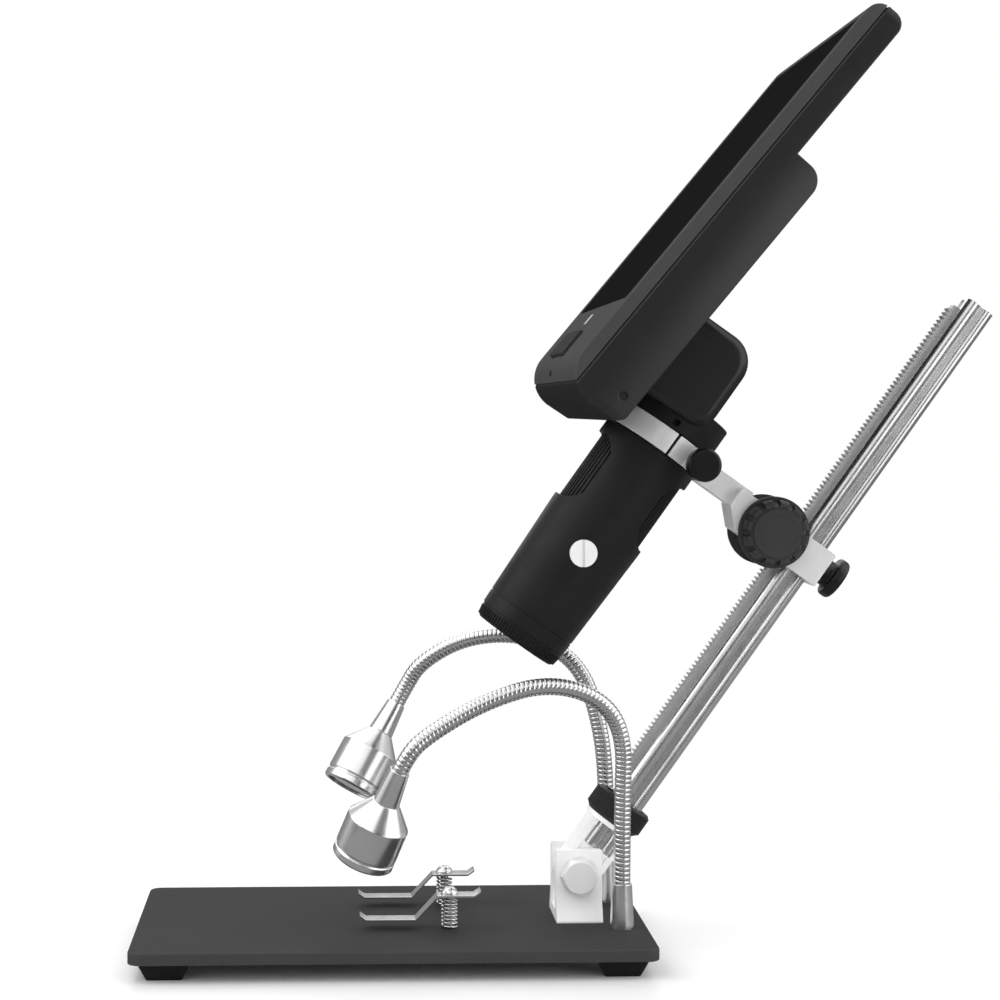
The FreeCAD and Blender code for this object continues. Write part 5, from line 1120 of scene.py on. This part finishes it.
@dataclass
class FocusKnob:
    """A focus knob: a thin rim, a tapered grip with raised ribs, and a flat face."""

    name: str
    side: float
    rim_start: float = 11.5
    rim_width: float = 2.2
    rim_r: float = 14.2
    grip_r0: float = 12.5
    grip_r1: float = 10.4
    grip_end: float = 20.7
    face_r: float = 9.6
    face_proud: float = 1.0
    circle_r: float = 7.2
    circle_depth: float = 0.18
    shaft_r: float = 3.0
    ribs: int = 12
    rib_r: float = 13.2
    rib_share: float = 0.62
    rib_flat: float = 0.88
    rib_round: float = 0.3
    rib_foot: float = 0.2
    rib_taper: float = 0.5
    rib_tip: float = 1.2
    rib_tip_in: float = 1.5
    rib_sunk: float = 1.0
    bore_depth: float = 2.0
    circle_half: float = 0.25
    edge: float = 0.35

    def profile(self) -> Profile:
        """The turned outline, from the bore's end outwards to the face.

        Returns:
            Radius and distance along the shaft of each point.
        """
        start, rim = self.rim_start, self.rim_start + self.rim_width
        face = self.grip_end + self.face_proud
        floor = face - self.bore_depth
        ring, half = self.circle_r, self.circle_half
        return [(0.0, floor), (self.shaft_r, floor), (self.shaft_r, start),
                (self.rim_r, start), (self.rim_r, rim),
                (self.grip_r0, rim), (self.grip_r1, self.grip_end),
                (self.face_r, self.grip_end), (self.face_r, face), (ring + half, face),
                (ring, face - self.circle_depth), (ring - half, face), (0.0, face)]

    def rib_mesh(self) -> bpy.types.Mesh:
        """Make one raised rib of the grip.

        Returns:
            The rib's closed mesh, a short sector about X with its length along Z.
        """
        low, high = self.rim_start + self.rim_width - self.rib_foot, self.grip_end
        half = math.pi / self.ribs * self.rib_share
        angles = [half * share for share in (-1.0, -self.rib_flat, 0.0, self.rib_flat, 1.0)]
        made = bmesh.new()
        rows = []
        for level, outer, grip in ((low, self.rib_r, self.grip_r0),
                                   (high - self.rib_tip, self.rib_r - self.rib_taper,
                                    self.grip_r1),
                                   (high, self.rib_r - self.rib_tip_in, self.grip_r1)):
            side = outer - self.rib_round
            arc = zip((side, outer, outer, outer, side), angles)
            inner = grip - self.rib_sunk
            loop = [*arc, (inner, angles[-1]), (inner, angles[0])]
            rows.append([made.verts.new((r * math.cos(a), r * math.sin(a), level))
                         for r, a in loop])
        made.faces.new(list(reversed(rows[0])))
        made.faces.new(rows[-1])
        for lower, upper in zip(rows, rows[1:]):
            for k in range(len(lower)):
                n = (k + 1) % len(lower)
                made.faces.new((lower[k], lower[n], upper[n], upper[k]))
        bmesh.ops.recalc_face_normals(made, faces=made.faces)
        mesh = bpy.data.meshes.new(self.name + "_rib")
        made.to_mesh(mesh)
        made.free()
        return mesh

    def build(self, shop: Workshop) -> None:
        """Turn the knob, stand its ribs round it and set both on the focus shaft.

        Args:
            shop: The workshop.
        """
        finish = shop.palette.knob_grey
        shaft = shop.joint_place("focus_knob_turn")
        place = Placement.along(shaft.origin, ACROSS * self.side)
        tag = "_" + self.name
        shop.turned(self.name + "_body", "focus_drive", self.profile(), finish, place, tag,
                    [self.name], edge=self.edge)
        paint = shop.paint(finish, place, tag)
        rib = bpy.data.objects.new(self.name + "_rib", self.rib_mesh())
        bpy.context.scene.collection.objects.link(rib)
        mesh = round_tree().grow(self.name + "_ribs", {
            "Material": paint, "Item": rib, "Count": self.ribs, "Start": 0.5})
        bpy.data.objects.remove(rib)
        mesh.transform(place.matrix())
        shade(mesh)
        shop.finish_piece(mesh, self.name + "_ribs", "focus_drive", paint)


@dataclass
class ThumbScrew:
    """A thumb screw's smooth round head on its stem, seen from outside its thread."""

    node: str
    body: str
    joint: str
    outward: float
    profile: Profile
    edge: float = 0.9

    def build(self, shop: Workshop) -> None:
        """Turn the screw about its joint's axis.

        Args:
            shop: The workshop.
        """
        axis = shop.joint_place(self.joint)
        place = Placement.along(axis.origin, axis.z_axis * self.outward)
        shop.turned(self.node + "_turned", self.body, self.profile, shop.palette.screw_black,
                    place, "_" + self.node, [self.node], edge=self.edge)


@dataclass
class FocusCarriage:
    """Carriage, clamp arm, pinion drive and the thumb screws."""

    knobs: tuple[FocusKnob, ...] = (FocusKnob("focus_knob_near", -1.0),
                                    FocusKnob("focus_knob_far", 1.0))
    screws: tuple[ThumbScrew, ...] = (
        ThumbScrew("lock_screw", "carriage_lock", "carriage_lock_turn", 1.0,
                   ((0.0, -4.8), (2.5, -4.8), (2.5, -1.3), (5.6, -1.3), (5.3, 0.8), (5.6, 2.9),
                    (8.0, 2.9), (8.4, 3.8), (8.4, 6.2), (7.6, 7.3), (5.8, 7.3), (5.4, 7.1),
                    (0.0, 7.1))),
        ThumbScrew("ring_screw", "ring_lock", "ring_lock_turn", -1.0,
                   ((0.0, -9.1), (2.0, -9.1), (2.0, -0.9), (4.5, -0.9), (4.5, 2.1),
                    (6.2, 2.1), (6.55, 3.2), (6.55, 10.2), (5.8, 11.1), (0.0, 11.1))))
    carriage_edge: float = 0.3
    arm_edge: float = 0.25
    bush_edge: float = 0.2

    def build(self, shop: Workshop) -> None:
        """Round the edges of the carriage and arm, and make the knobs and screws.

        Args:
            shop: The workshop.
        """
        looks = shop.palette
        tilt = shop.joint_place("clamping_nut_turn")
        knob = shop.joint_place("focus_knob_turn")
        shop.soften("carriage", looks.aluminium_satin, self.carriage_edge, tilt, "_tilted")
        shop.soften("clamp_arm", looks.aluminium_satin, self.arm_edge, tilt, "_tilted")
        shop.soften("pinion_shaft", looks.steel_bright, 0.0, knob, "_shaft")
        shop.soften("shaft_bushes", looks.bush_brass, self.bush_edge, knob, "_bush")
        for each in self.knobs:
            each.build(shop)
        for screw in self.screws:
            screw.build(shop)


@dataclass
class Barrel:
    """Microscope barrel, its grips, lens ring, plug, neck and the optics inside."""

    shell_edge: float = 0.2
    plug_edge: float = 0.15
    ring_below_pivot: float = 98.8
    ring_height: float = 5.8
    ring_foot_r: float = 17.75
    ring_top_r: float = 18.75
    ring_edge: float = 0.8
    mouth_r: float = 13.0
    mouth_depth: float = 2.2
    mouth_flare: float = 2.4
    ribs: int = 84
    rib: float = 0.34
    rib_short: float = 2.0
    neck_bore: float = 15.6
    neck_r: float = 21.5
    neck_low: float = 4.9
    neck_high: float = 17.5
    neck_roof: float = 1.6
    neck_edge: float = 0.6
    slot: float = 2.6
    slot_level: float = 7.8
    slot_depth: float = 2.9

    def build_neck(self, shop: Workshop, pivot: Placement) -> None:
        """Turn the neck with its closed top and cut its small square slot.

        Args:
            shop: The workshop.
            pivot: The frame of the joint that turns the microscope.
        """
        roof = self.neck_high - self.neck_roof
        profile = [(0.0, roof), (self.neck_bore, roof), (self.neck_bore, self.neck_low),
                   (self.neck_r, self.neck_low), (self.neck_r, self.neck_high),
                   (0.0, self.neck_high)]
        mesh = turned_mesh("neck_body", rounded_corners(profile, self.neck_edge))
        mesh = cut_box(mesh, (0.0, -self.neck_r, self.slot_level),
                       (self.slot, 2 * self.slot_depth, self.slot))
        mesh.transform(pivot.matrix())
        shade(mesh)
        finish = shop.palette.housing_black
        shop.finish_piece(mesh, "neck_body", "microscope",
                          shop.paint(finish, pivot, "_barrel"), ["barrel_neck"])

    @staticmethod
    def turn_plug(mesh: bpy.types.Mesh, pivot: Placement) -> None:
        """Turn the round plug on its own axis until its slot stands upright.

        Args:
            mesh: The plug's mesh, in its place.
            pivot: The frame of the joint that turns the microscope.
        """
        xs = [vertex.co.x for vertex in mesh.vertices]
        zs = [vertex.co.z for vertex in mesh.vertices]
        centre = Vector(((min(xs) + max(xs)) / 2, 0.0, (min(zs) + max(zs)) / 2))
        lean = math.atan2(pivot.z_axis.x, pivot.z_axis.z)
        turn = Matrix.Rotation(-lean, 4, "Y")
        mesh.transform(Matrix.Translation(centre) @ turn @ Matrix.Translation(-centre))

    def build_ring(self, shop: Workshop, foot: Placement) -> None:
        """Make the lens ring, whose fine ribs follow its taper.

        Args:
            shop: The workshop.
            foot: The frame at the ring's lower end.
        """
        finish = shop.palette.housing_black
        top, edge = self.ring_height, self.ring_edge
        profile = [(self.mouth_r, self.mouth_depth), (self.mouth_r + self.mouth_flare, 0.0),
                   (self.ring_foot_r - edge, 0.0), (self.ring_foot_r, edge),
                   (self.ring_top_r, top), (self.mouth_r, top)]
        shop.turned("lens_ring_body", "microscope", profile, finish, foot, "_ring",
                    ["lens_ring"], ring=True)
        paint = shop.paint(finish, foot, "_ring")
        length = top - self.rib_short
        middle = edge + length / 2
        mean = (self.ring_foot_r + self.ring_top_r) / 2
        mesh = rib_ring_tree().grow("lens_ring_ribs", {
            "Material": paint, "Count": self.ribs, "Radius": mean, "Rib": self.rib,
            "Length": length, "Level": middle})
        lean = (self.ring_top_r - self.ring_foot_r) / self.ring_height / mean
        for vertex in mesh.vertices:
            spread = 1.0 + (vertex.co.z - middle) * lean
            vertex.co.x *= spread
            vertex.co.y *= spread
        mesh.transform(foot.matrix())
        shop.finish_piece(mesh, "lens_ring_ribs", "microscope", paint)

    def build(self, shop: Workshop) -> None:
        """Dress the barrel's nodes, and make its neck and its lens ring.

        Args:
            shop: The workshop.
        """
        looks = shop.palette
        pivot = shop.joint_place("microscope_turn")
        shop.soften("barrel_shell", looks.housing_black, self.shell_edge, pivot, "_barrel")
        shop.soften("grip_pads", looks.grip_rubber, 0.0, pivot, "_barrel")
        plug = shop.soften("slotted_plug", looks.bolt_steel, self.plug_edge, pivot, "_plug")
        self.turn_plug(plug.data, pivot)
        self.build_neck(shop, pivot)
        self.build_ring(shop, pivot.moved(-self.ring_below_pivot))
        inside = {"objective_tube": looks.panel_dark, "objective_lenses": looks.lens_glass,
                  "ring_light_board": looks.circuit_board, "ring_light_leds": looks.led_white,
                  "sensor_holder": looks.panel_dark, "sensor_board": looks.circuit_board}
        for node, finish in inside.items():
            shop.soften(node, finish, 0.0)


@dataclass
class DisplayHead:
    """Flat display with its keys, glass, boards and fasteners, and the housing behind it."""

    shell_edge: float = 0.6
    key_edge: float = 0.25
    bezel_edge: float = 0.4
    glass_edge: float = 0.15
    window_edge: float = 0.05
    edge_faces: int = 3
    half_width: float = 86.0
    side_band: float = 4.0
    crown_start: float = 6.0
    crown_end: float = 28.0
    crown_depth: float = 3.2
    crown_cuts: int = 22

    link_low: float = 10.4
    link_high: float = 48.3
    link_back: float = 11.2
    link_front: float = -24.0
    link_half: float = 26.0
    link_foot_r: float = 8.0
    link_head_r: float = 12.0
    link_rim: float = 4.5

    def build_link(self, shop: Workshop) -> None:
        """Make the rounded housing that carries the display on the barrel's neck.

        Args:
            shop: The workshop.
        """
        pivot = shop.joint_place("microscope_turn")
        outline = rounded_outline([(self.link_front, self.link_low, 0.0),
                                   (self.link_back, self.link_low, self.link_foot_r),
                                   (self.link_back, self.link_high, self.link_head_r),
                                   (self.link_front, self.link_high, 0.0)])
        mesh = pillow_mesh("link_body", outline, self.link_half, self.link_rim)
        mesh.transform(pivot.matrix())
        shade(mesh)
        finish = shop.palette.shell_black
        shop.finish_piece(mesh, "link_body", "microscope",
                          shop.paint(finish, pivot, "_link"), ["link_housing"])

    def crown(self, mesh: bpy.types.Mesh, shop: Workshop) -> None:
        """Curve the shell's two flat sides inwards towards its back.

        Args:
            mesh: The shell's mesh, in its place.
            shop: The workshop, which knows where the display's face is.
        """
        back = Vector(shop.joint("middle_key_press")["axis"]).normalized()
        glass = self.frame_depth(shop, back)
        made = bmesh.new()
        made.from_mesh(mesh)
        for i in range(self.crown_cuts):
            share = i / (self.crown_cuts - 1)
            depth = self.crown_start + (self.crown_end - self.crown_start) * share
            bmesh.ops.bisect_plane(made, geom=made.verts[:] + made.edges[:] + made.faces[:],
                                   plane_co=back * (glass + depth * MM), plane_no=back,
                                   dist=TINY)
        for vertex in made.verts:
            gap = self.half_width * MM - abs(vertex.co.y)
            depth = (vertex.co.dot(back) - glass) / MM
            if gap < self.side_band * MM and depth > self.crown_start:
                share = (depth - self.crown_start) / (self.crown_end - self.crown_start)
                inward = self.crown_depth * MM * share ** 2 * (1.0 - gap / self.side_band / MM)
                vertex.co.y -= math.copysign(inward, vertex.co.y)
        made.to_mesh(mesh)
        made.free()
        shade(mesh)

    @staticmethod
    def frame_depth(shop: Workshop, back: Vector) -> float:
        """How far along the face's normal the front of the bezel is, in metres."""
        front = shop.frame["nodes"]["display_bezel"].data
        return min(vertex.co.dot(back) for vertex in front.vertices)

    def build(self, shop: Workshop) -> None:
        """Round the moulded edges and dress every node.

        Args:
            shop: The workshop.
        """
        looks = shop.palette
        face = Placement.along((0.0, 0.0, 0.0), shop.joint("middle_key_press")["axis"])
        shell = shop.soften("display_rear_shell", looks.shell_black, self.shell_edge, face,
                            "_shell", self.edge_faces)
        self.crown(shell.data, shop)
        shop.soften("display_bezel", looks.bezel_grey, self.bezel_edge, face, "_bezel",
                    self.edge_faces)
        shop.soften("screen_glass", looks.screen_gloss, self.glass_edge)
        shop.soften("indicator_window", looks.indicator_light, self.window_edge)
        self.build_link(shop)
        for node in ("key_left", "key_middle", "key_right"):
            shop.soften(node, looks.key_black, self.key_edge, face, "_key")
        inside = {"screen_panel": looks.panel_dark, "main_board": looks.circuit_board,
                  "battery": looks.battery_wrap, "key_switches": looks.knob_black,
                  "shell_screws": looks.steel_bright, "power_jack": looks.panel_dark}
        for node, finish in inside.items():
            shop.soften(node, finish, 0.0)


@dataclass
class GooseneckLamp:
    """One lamp on its wound gooseneck, from the nut under the plate to the lens."""

    name: str
    node: str
    side: float
    route: Sequence[tuple[float, float]]
    lamp_end: tuple[float, float]
    base_y: float = 25.0
    lamp_y: float = 36.0
    inward_deg: float = 15.0
    middle: float = 22.0
    start_z: float = 13.0
    tube_r: float = 3.3
    groove: float = 0.38
    pitch: float = 1.75
    sides: int = 24
    steps: int = 8
    lead: float = 7.0
    bite: float = 6.0
    ferrule: float = 14.0
    ferrule_r0: float = 3.9
    ferrule_r1: float = 5.2
    cone: float = 8.0
    body: float = 18.0
    head_r: float = 12.3
    top_r: float = 5.4
    wall: float = 1.8
    lens_sunk: float = 1.0
    lens_thick: float = 2.4
    back_wall: float = 3.0
    bowl_back: float = 1.7
    bowl_r0: float = 2.4
    bowl_steps: int = 6
    bowl_curve: float = 0.6
    gap: float = 0.05
    band: Profile = ((4.6, 0.0), (4.3, 0.55), (3.5, 0.55), (3.2, 0.0))
    ferrule_edge: float = 0.35
    head_edge: float = 0.3
    bowl_edge: float = 0.2
    steps_per_bend: int = 24
    slack: float = 0.95

    def line_points(self) -> tuple[list[Vector], Placement]:
        """The control points of the tube's centre line, and the lamp's own frame.

        Returns:
            The points in millimetres, and a frame at the ferrule's mouth that looks down the lamp.
        """
        (mouth_x, mouth_z), (end_x, end_z) = self.route[-1], self.lamp_end
        level = Vector((end_x - mouth_x, 0.0, end_z - mouth_z)).normalized()
        turn = math.radians(self.inward_deg)
        axis = level * math.cos(turn) - ACROSS * (self.side * math.sin(turn))
        middle = Vector((mouth_x, self.side * self.lamp_y, mouth_z)) + level * self.middle
        mouth = middle - axis * self.middle
        lead_in = mouth - axis * self.lead
        spread = abs(lead_in.y) - self.base_y
        points = [Vector((self.route[0][0], self.side * self.base_y, self.start_z))]
        for i, (x, z) in enumerate(self.route[:-1]):
            share = max(0.0, (i - 1) / (len(self.route) - 2))
            points.append(Vector((x, self.side * (self.base_y + spread * share), z)))
        return points + [lead_in, mouth + axis * self.bite], Placement.along(mouth * MM, axis)

    def centre_line(self, points: Sequence[Vector]) -> bpy.types.Object:
        """A smooth NURBS curve with the route's points as its control points."""
        curve = bpy.data.curves.new(self.name + "_line", "CURVE")
        curve.dimensions = "3D"
        curve.resolution_u = self.steps_per_bend
        spline = curve.splines.new("NURBS")
        spline.points.add(len(points) - 1)
        for slot, point in zip(spline.points, points):
            slot.co = (*point, 1.0)
        spline.order_u = 3
        spline.use_endpoint_u = True
        line = bpy.data.objects.new(self.name + "_line", curve)
        bpy.context.scene.collection.objects.link(line)
        return line

    def build(self, shop: Workshop) -> None:
        """Make the tube, the ferrule and the lamp head, with its lens and reflector.

        Args:
            shop: The workshop.
        """
        looks = shop.palette
        points, head = self.line_points()
        line = self.centre_line(points)
        length = sum((b - a).length for a, b in zip(points, points[1:])) * self.slack
        mesh = wound_tube_tree().grow(self.name + "_tube", {
            "Material": shop.paint(looks.chrome_flex), "Path": line, "Radius": self.tube_r,
            "Groove": self.groove, "Ribs": round(length / self.pitch), "Steps": self.steps,
            "Sides": self.sides})
        bpy.data.objects.remove(line)
        mesh.transform(Matrix.Scale(MM, 4))
        shop.finish_piece(mesh, self.name + "_tube", "stand",
                          shop.paint(looks.chrome_flex), [self.node])
        self.build_head(shop, head)

    def build_head(self, shop: Workshop, head: Placement) -> None:
        """Turn the lamp's ferrule, housing, reflector and lens on its own axis.

        Args:
            shop: The workshop.
            head: The lamp's frame, at its ferrule's mouth.
        """
        looks = shop.palette
        tag = "_" + self.name
        metal = looks.lamp_aluminium
        bore = self.tube_r + self.gap
        ferrule = [(0.0, self.bite), (bore, self.bite), (bore, 0.0), (self.ferrule_r0, 0.0),
                   (self.ferrule_r1, self.ferrule), (0.0, self.ferrule)]
        shop.turned(self.name + "_ferrule", "stand", ferrule, metal, head, tag,
                    edge=self.ferrule_edge)
        base = head.moved(self.ferrule)
        length = self.cone + self.body
        r = self.head_r
        inner = r - self.wall
        floor = self.cone + self.back_wall
        housing = [(0.0, 0.0), (self.top_r, 0.0), (r - 0.8, self.cone - 0.4),
                   (r, self.cone + 0.6),
                   *((r - sunk, length - level) for level, sunk in self.band),
                   (r, length - 0.7), (r - 0.7, length), (inner, length), (inner, floor),
                   (0.0, floor)]
        shop.turned(self.name + "_housing", "stand", housing, metal, base, tag,
                    edge=self.head_edge)
        glass_foot = length - self.lens_sunk - self.lens_thick
        bowl_foot = floor + self.bowl_back
        bowl = [(self.bowl_r0, bowl_foot)]
        for i in range(self.bowl_steps + 1):
            share = i / self.bowl_steps
            bowl.append((self.bowl_r0 + (inner - 3.0) * share ** self.bowl_curve,
                         bowl_foot + (glass_foot - floor - 1.9) * share))
        bowl += [(inner - self.gap, glass_foot - 0.1), (inner - self.gap, bowl_foot)]
        shop.turned(self.name + "_reflector", "stand", bowl, looks.reflector, base, tag,
                    ring=True, edge=self.bowl_edge)
        top = length - self.lens_sunk
        lens = [(0.0, glass_foot), (inner - self.gap, glass_foot), (inner - self.gap, top - 0.8),
                (inner - 0.9, top - 0.1), (inner * 0.6, top + 0.35), (0.0, top + 0.5)]
        shop.turned(self.name + "_lens", "stand", lens, looks.lens_glass, base, tag,
                    edge=self.head_edge)


@dataclass
class Lamps:
    """Both gooseneck lamps and what they share."""

    ferrule_edge: float = 0.25
    near: GooseneckLamp = field(default_factory=lambda: GooseneckLamp(
        "lamp_near", "gooseneck_near", -1.0,
        ((89.6, 60.0), (90.6, 88.0), (80.0, 103.5), (58.5, 109.0), (34.5, 102.0), (14.0, 90.5),
         (2.8, 77.5)), (-12.0, 40.6)))
    far: GooseneckLamp = field(default_factory=lambda: GooseneckLamp(
        "lamp_far", "gooseneck_far", 1.0,
        ((89.6, 56.0), (87.2, 84.0), (79.0, 110.0), (57.6, 121.6), (33.0, 120.5), (13.5, 109.5),
         (3.8, 92.5)), (-16.7, 56.6)))

    def build(self, shop: Workshop) -> None:
        """Build the lamps and hide the CAD nodes that their heads stand for.

        Args:
            shop: The workshop.
        """
        looks = shop.palette
        for lamp in (self.near, self.far):
            lamp.build(shop)
        for node, piece in (("lamp_ferrules", "ferrule"), ("lamp_housings", "housing"),
                            ("lamp_reflectors", "reflector"), ("lamp_lenses", "lens")):
            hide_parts(node)
        shop.soften("base_ferrules", looks.lamp_aluminium, self.ferrule_edge, UPRIGHT, "_base")
        shop.soften("lamp_boards", looks.circuit_board, 0.0)


@dataclass
class StageClips:
    """Spring-steel clips with their slotted screws and coil springs."""

    clip_edge: float = 0.2
    screw_edge: float = 0.15
    clip_x: float = 22.5
    clip_y: float = 21.0
    plate_top: float = 12.0
    under_clip: float = 12.4
    spring_r: float = 2.9
    wire: float = 0.42
    turns: float = 8.0

    def build(self, shop: Workshop) -> None:
        """Dress the clips and screws and grow the springs.

        Args:
            shop: The workshop.
        """
        looks = shop.palette
        for node in ("stage_clip_near", "stage_clip_far"):
            shop.soften(node, looks.steel_bright, self.clip_edge)
        shop.soften("clip_screws", looks.steel_bright, self.screw_edge)
        material = shop.paint(looks.steel_bright)
        tree = coil_tree()
        for name, side in (("near", -1.0), ("far", 1.0)):
            mesh = tree.grow(f"spring_{name}", {
                "Material": material, "Turns": self.turns, "Radius": self.spring_r,
                "Height": self.under_clip - 2 * self.wire, "Wire": self.wire})
            spot = Vector((self.clip_x, side * self.clip_y, self.plate_top + self.wire))
            mesh.transform(Matrix.Translation(spot * MM) @ Matrix.Scale(MM, 4))
            shop.finish_piece(mesh, f"spring_{name}", "stand", material)
        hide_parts("clip_springs")


@dataclass(frozen=True)
class Softbox:
    """A square soft lamp: its name, place, side and power in watts."""

    name: str
    at: tuple[float, float, float]
    size: float
    power: float


@dataclass
class Studio:
    """Floor, lamps, background and the camera of the photograph."""

    softboxes: tuple[Softbox, ...] = (
        Softbox("key", (-900.0, -250.0, 900.0), 1350.0, 10.0),
        Softbox("front", (-250.0, -1300.0, 900.0), 1000.0, 3.6),
        Softbox("side", (1000.0, -250.0, 620.0), 1150.0, 5.0),
        Softbox("back", (100.0, 900.0, 900.0), 1350.0, 6.0),
        Softbox("edge", (560.0, -560.0, 110.0), 360.0, 0.8))
    aim: tuple[float, float, float] = (40.0, 0.0, 150.0)

    eye: tuple[float, float, float] = (-24.24, -928.1, 214.9)
    look_right: float = 0.0349
    look_down: float = 0.0197
    shift: tuple[float, float] = (0.089, -0.046)
    focal_px: float = 2334.3
    image_px: float = 1000.0
    sensor: float = 36.0
    clip: tuple[float, float] = (0.01, 50.0)
    floor_half: float = 6000.0
    floor_white: float = 0.97
    floor_rough: float = 0.35
    floor_gloss: float = 0.25
    fade: tuple[float, float] = (190.0, 420.0)
    fade_deep: float = 1.6
    fill: float = 0.6
    room_front: float = 0.06
    room_side: float = 0.36
    room_back: float = 0.30
    room_top: float = 0.6
    room_right: float = 0.5
    room_left: float = 0.4
    floor_in_gloss: float = 0.2
    floor_dimmed: float = 0.85
    fill_front: float = 0.60

    def build(self) -> None:
        """Make everything round the object."""
        self.build_floor()
        self.build_world()
        for softbox in self.softboxes:
            self.hang(softbox)
        self.build_camera()

    def hang(self, softbox: Softbox) -> None:
        """Hang a soft lamp that looks at the object.

        Args:
            softbox: The lamp.
        """
        lamp = bpy.data.lights.new(softbox.name, "AREA")
        lamp.energy = softbox.power
        lamp.size = softbox.size * MM
        holder = bpy.data.objects.new(softbox.name, lamp)
        holder.location = Vector(softbox.at) * MM
        holder.visible_camera = False
        aim = Vector(self.aim) * MM - holder.location
        holder.rotation_euler = aim.to_track_quat("-Z", "Y").to_euler()
        bpy.context.scene.collection.objects.link(holder)

    def build_floor(self) -> None:
        """A white sheet that keeps the shadow near the object and fades to the background."""
        half = self.floor_half * MM
        mesh = bpy.data.meshes.new("floor")
        mesh.from_pydata([(-half, -half, 0.0), (half, -half, 0.0), (half, half, 0.0),
                          (-half, half, 0.0)], [], [(0, 1, 2, 3)])
        floor = bpy.data.objects.new("floor", mesh)
        bpy.context.scene.collection.objects.link(floor)
        shader = Shader("floor_sheet")
        white_level = self.floor_white
        shader.surface.inputs["Base Color"].default_value = (*[white_level] * 3, 1.0)
        shader.surface.inputs["Roughness"].default_value = self.floor_rough
        shader.surface.inputs["Specular IOR Level"].default_value = self.floor_gloss
        white = shader.node("ShaderNodeEmission")
        place = shader.coordinates(UPRIGHT, (1.0, self.fade_deep, 1.0))
        away = shader.node("ShaderNodeVectorMath", operation="LENGTH")
        shader.join(place, away.inputs[0])
        share = shader.ramp(away.outputs["Value"], self.fade, 0.0, 1.0)
        rays = shader.node("ShaderNodeLightPath")
        clear = shader.maths("MAXIMUM", rays.outputs["Is Camera Ray"],
                             rays.outputs["Is Transmission Ray"])
        seen = shader.maths("MAXIMUM", clear, rays.outputs["Is Glossy Ray"])
        shader.join(shader.maths("MAXIMUM", clear, self.floor_in_gloss),
                    white.inputs["Strength"])
        mixed = shader.node("ShaderNodeMixShader")
        dimmed = shader.maths("MULTIPLY", rays.outputs["Is Glossy Ray"], self.floor_dimmed)
        shader.join(shader.maths("MAXIMUM", shader.maths("MULTIPLY", share, seen), dimmed),
                    mixed.inputs["Fac"])
        shader.join(shader.surface.outputs["BSDF"], mixed.inputs[1])
        shader.join(white.outputs["Emission"], mixed.inputs[2])
        shader.join(mixed.outputs["Shader"], shader.output.inputs["Surface"])
        mesh.materials.append(shader.material)

    def build_world(self) -> None:
        """White background, plain fill light, and a dim room behind the camera for reflections."""
        world = bpy.data.worlds.new("studio")
        bpy.context.scene.world = world
        world.use_nodes = True
        nodes = Nodes(world.node_tree)
        nodes.tree.nodes.clear()
        output = nodes.node("ShaderNodeOutputWorld")
        rays = nodes.node("ShaderNodeLightPath")
        direction = nodes.node("ShaderNodeTexCoord")
        parts = nodes.node("ShaderNodeSeparateXYZ")
        nodes.join(direction.outputs["Generated"], parts.inputs["Vector"])
        right, back, top = (parts.outputs[axis] for axis in "XYZ")
        left = nodes.maths("MULTIPLY", right, -1.0)
        front_to_side = nodes.ramp(back, (-0.95, -0.25), self.room_front, self.room_side, SMOOTH)
        side_to_back = nodes.ramp(back, (0.55, 0.95), 0.0, self.room_side - self.room_back,
                                  SMOOTH)
        room = nodes.maths("SUBTRACT", front_to_side, side_to_back)
        for part, span, level in ((top, (0.4, 0.9), self.room_top),
                                  (right, (0.62, 0.9), self.room_right),
                                  (left, (0.78, 0.95), self.room_left)):
            room = nodes.maths("ADD", room, nodes.ramp(part, span, 0.0, level, SMOOTH))
        room = nodes.maths("MINIMUM", room, 1.0)
        plain = nodes.ramp(back, (-0.9, 0.1), self.fill_front, self.fill, SMOOTH)
        fill, mirrored, white = (nodes.node("ShaderNodeBackground") for _ in range(3))
        for background in (fill, mirrored, white):
            background.inputs["Color"].default_value = (1.0, 1.0, 1.0, 1.0)
        nodes.join(plain, fill.inputs["Strength"])
        nodes.join(room, mirrored.inputs["Strength"])
        seen = fill.outputs["Background"]
        for ray, background in (("Is Glossy Ray", mirrored), ("Is Transmission Ray", white),
                                ("Is Camera Ray", white)):
            mixed = nodes.node("ShaderNodeMixShader")
            nodes.join(rays.outputs[ray], mixed.inputs["Fac"])
            nodes.join(seen, mixed.inputs[1])
            nodes.join(background.outputs["Background"], mixed.inputs[2])
            seen = mixed.outputs["Shader"]
        nodes.join(seen, output.inputs["Surface"])

    def build_camera(self) -> None:
        """Stand the camera where the photograph's lines across the stand say."""
        lens = bpy.data.cameras.new("camera")
        lens.sensor_width = self.sensor
        lens.lens = self.sensor * self.focal_px / self.image_px
        lens.shift_x, lens.shift_y = self.shift
        lens.clip_start, lens.clip_end = self.clip
        camera = bpy.data.objects.new("camera", lens)
        camera.location = Vector(self.eye) * MM
        camera.rotation_euler = Euler((math.pi / 2 - self.look_down, 0.0, -self.look_right))
        bpy.context.scene.collection.objects.link(camera)
        bpy.context.scene.camera = camera


def main() -> None:
    """Build each sub-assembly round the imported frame."""
    logging.basicConfig(level=logging.INFO, format="%(name)s: %(message)s")
    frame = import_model()
    bpy.context.scene.view_settings.view_transform = "Standard"
    shop = Workshop(frame)
    for assembly in (Base(), TiltBracket(), Column(), FocusCarriage(), Barrel(), DisplayHead(),
                     Lamps(), StageClips()):
        assembly.build(shop)
        LOG.info("%s done", type(assembly).__name__)
    Studio().build()


if __name__ == "__main__":
    main()
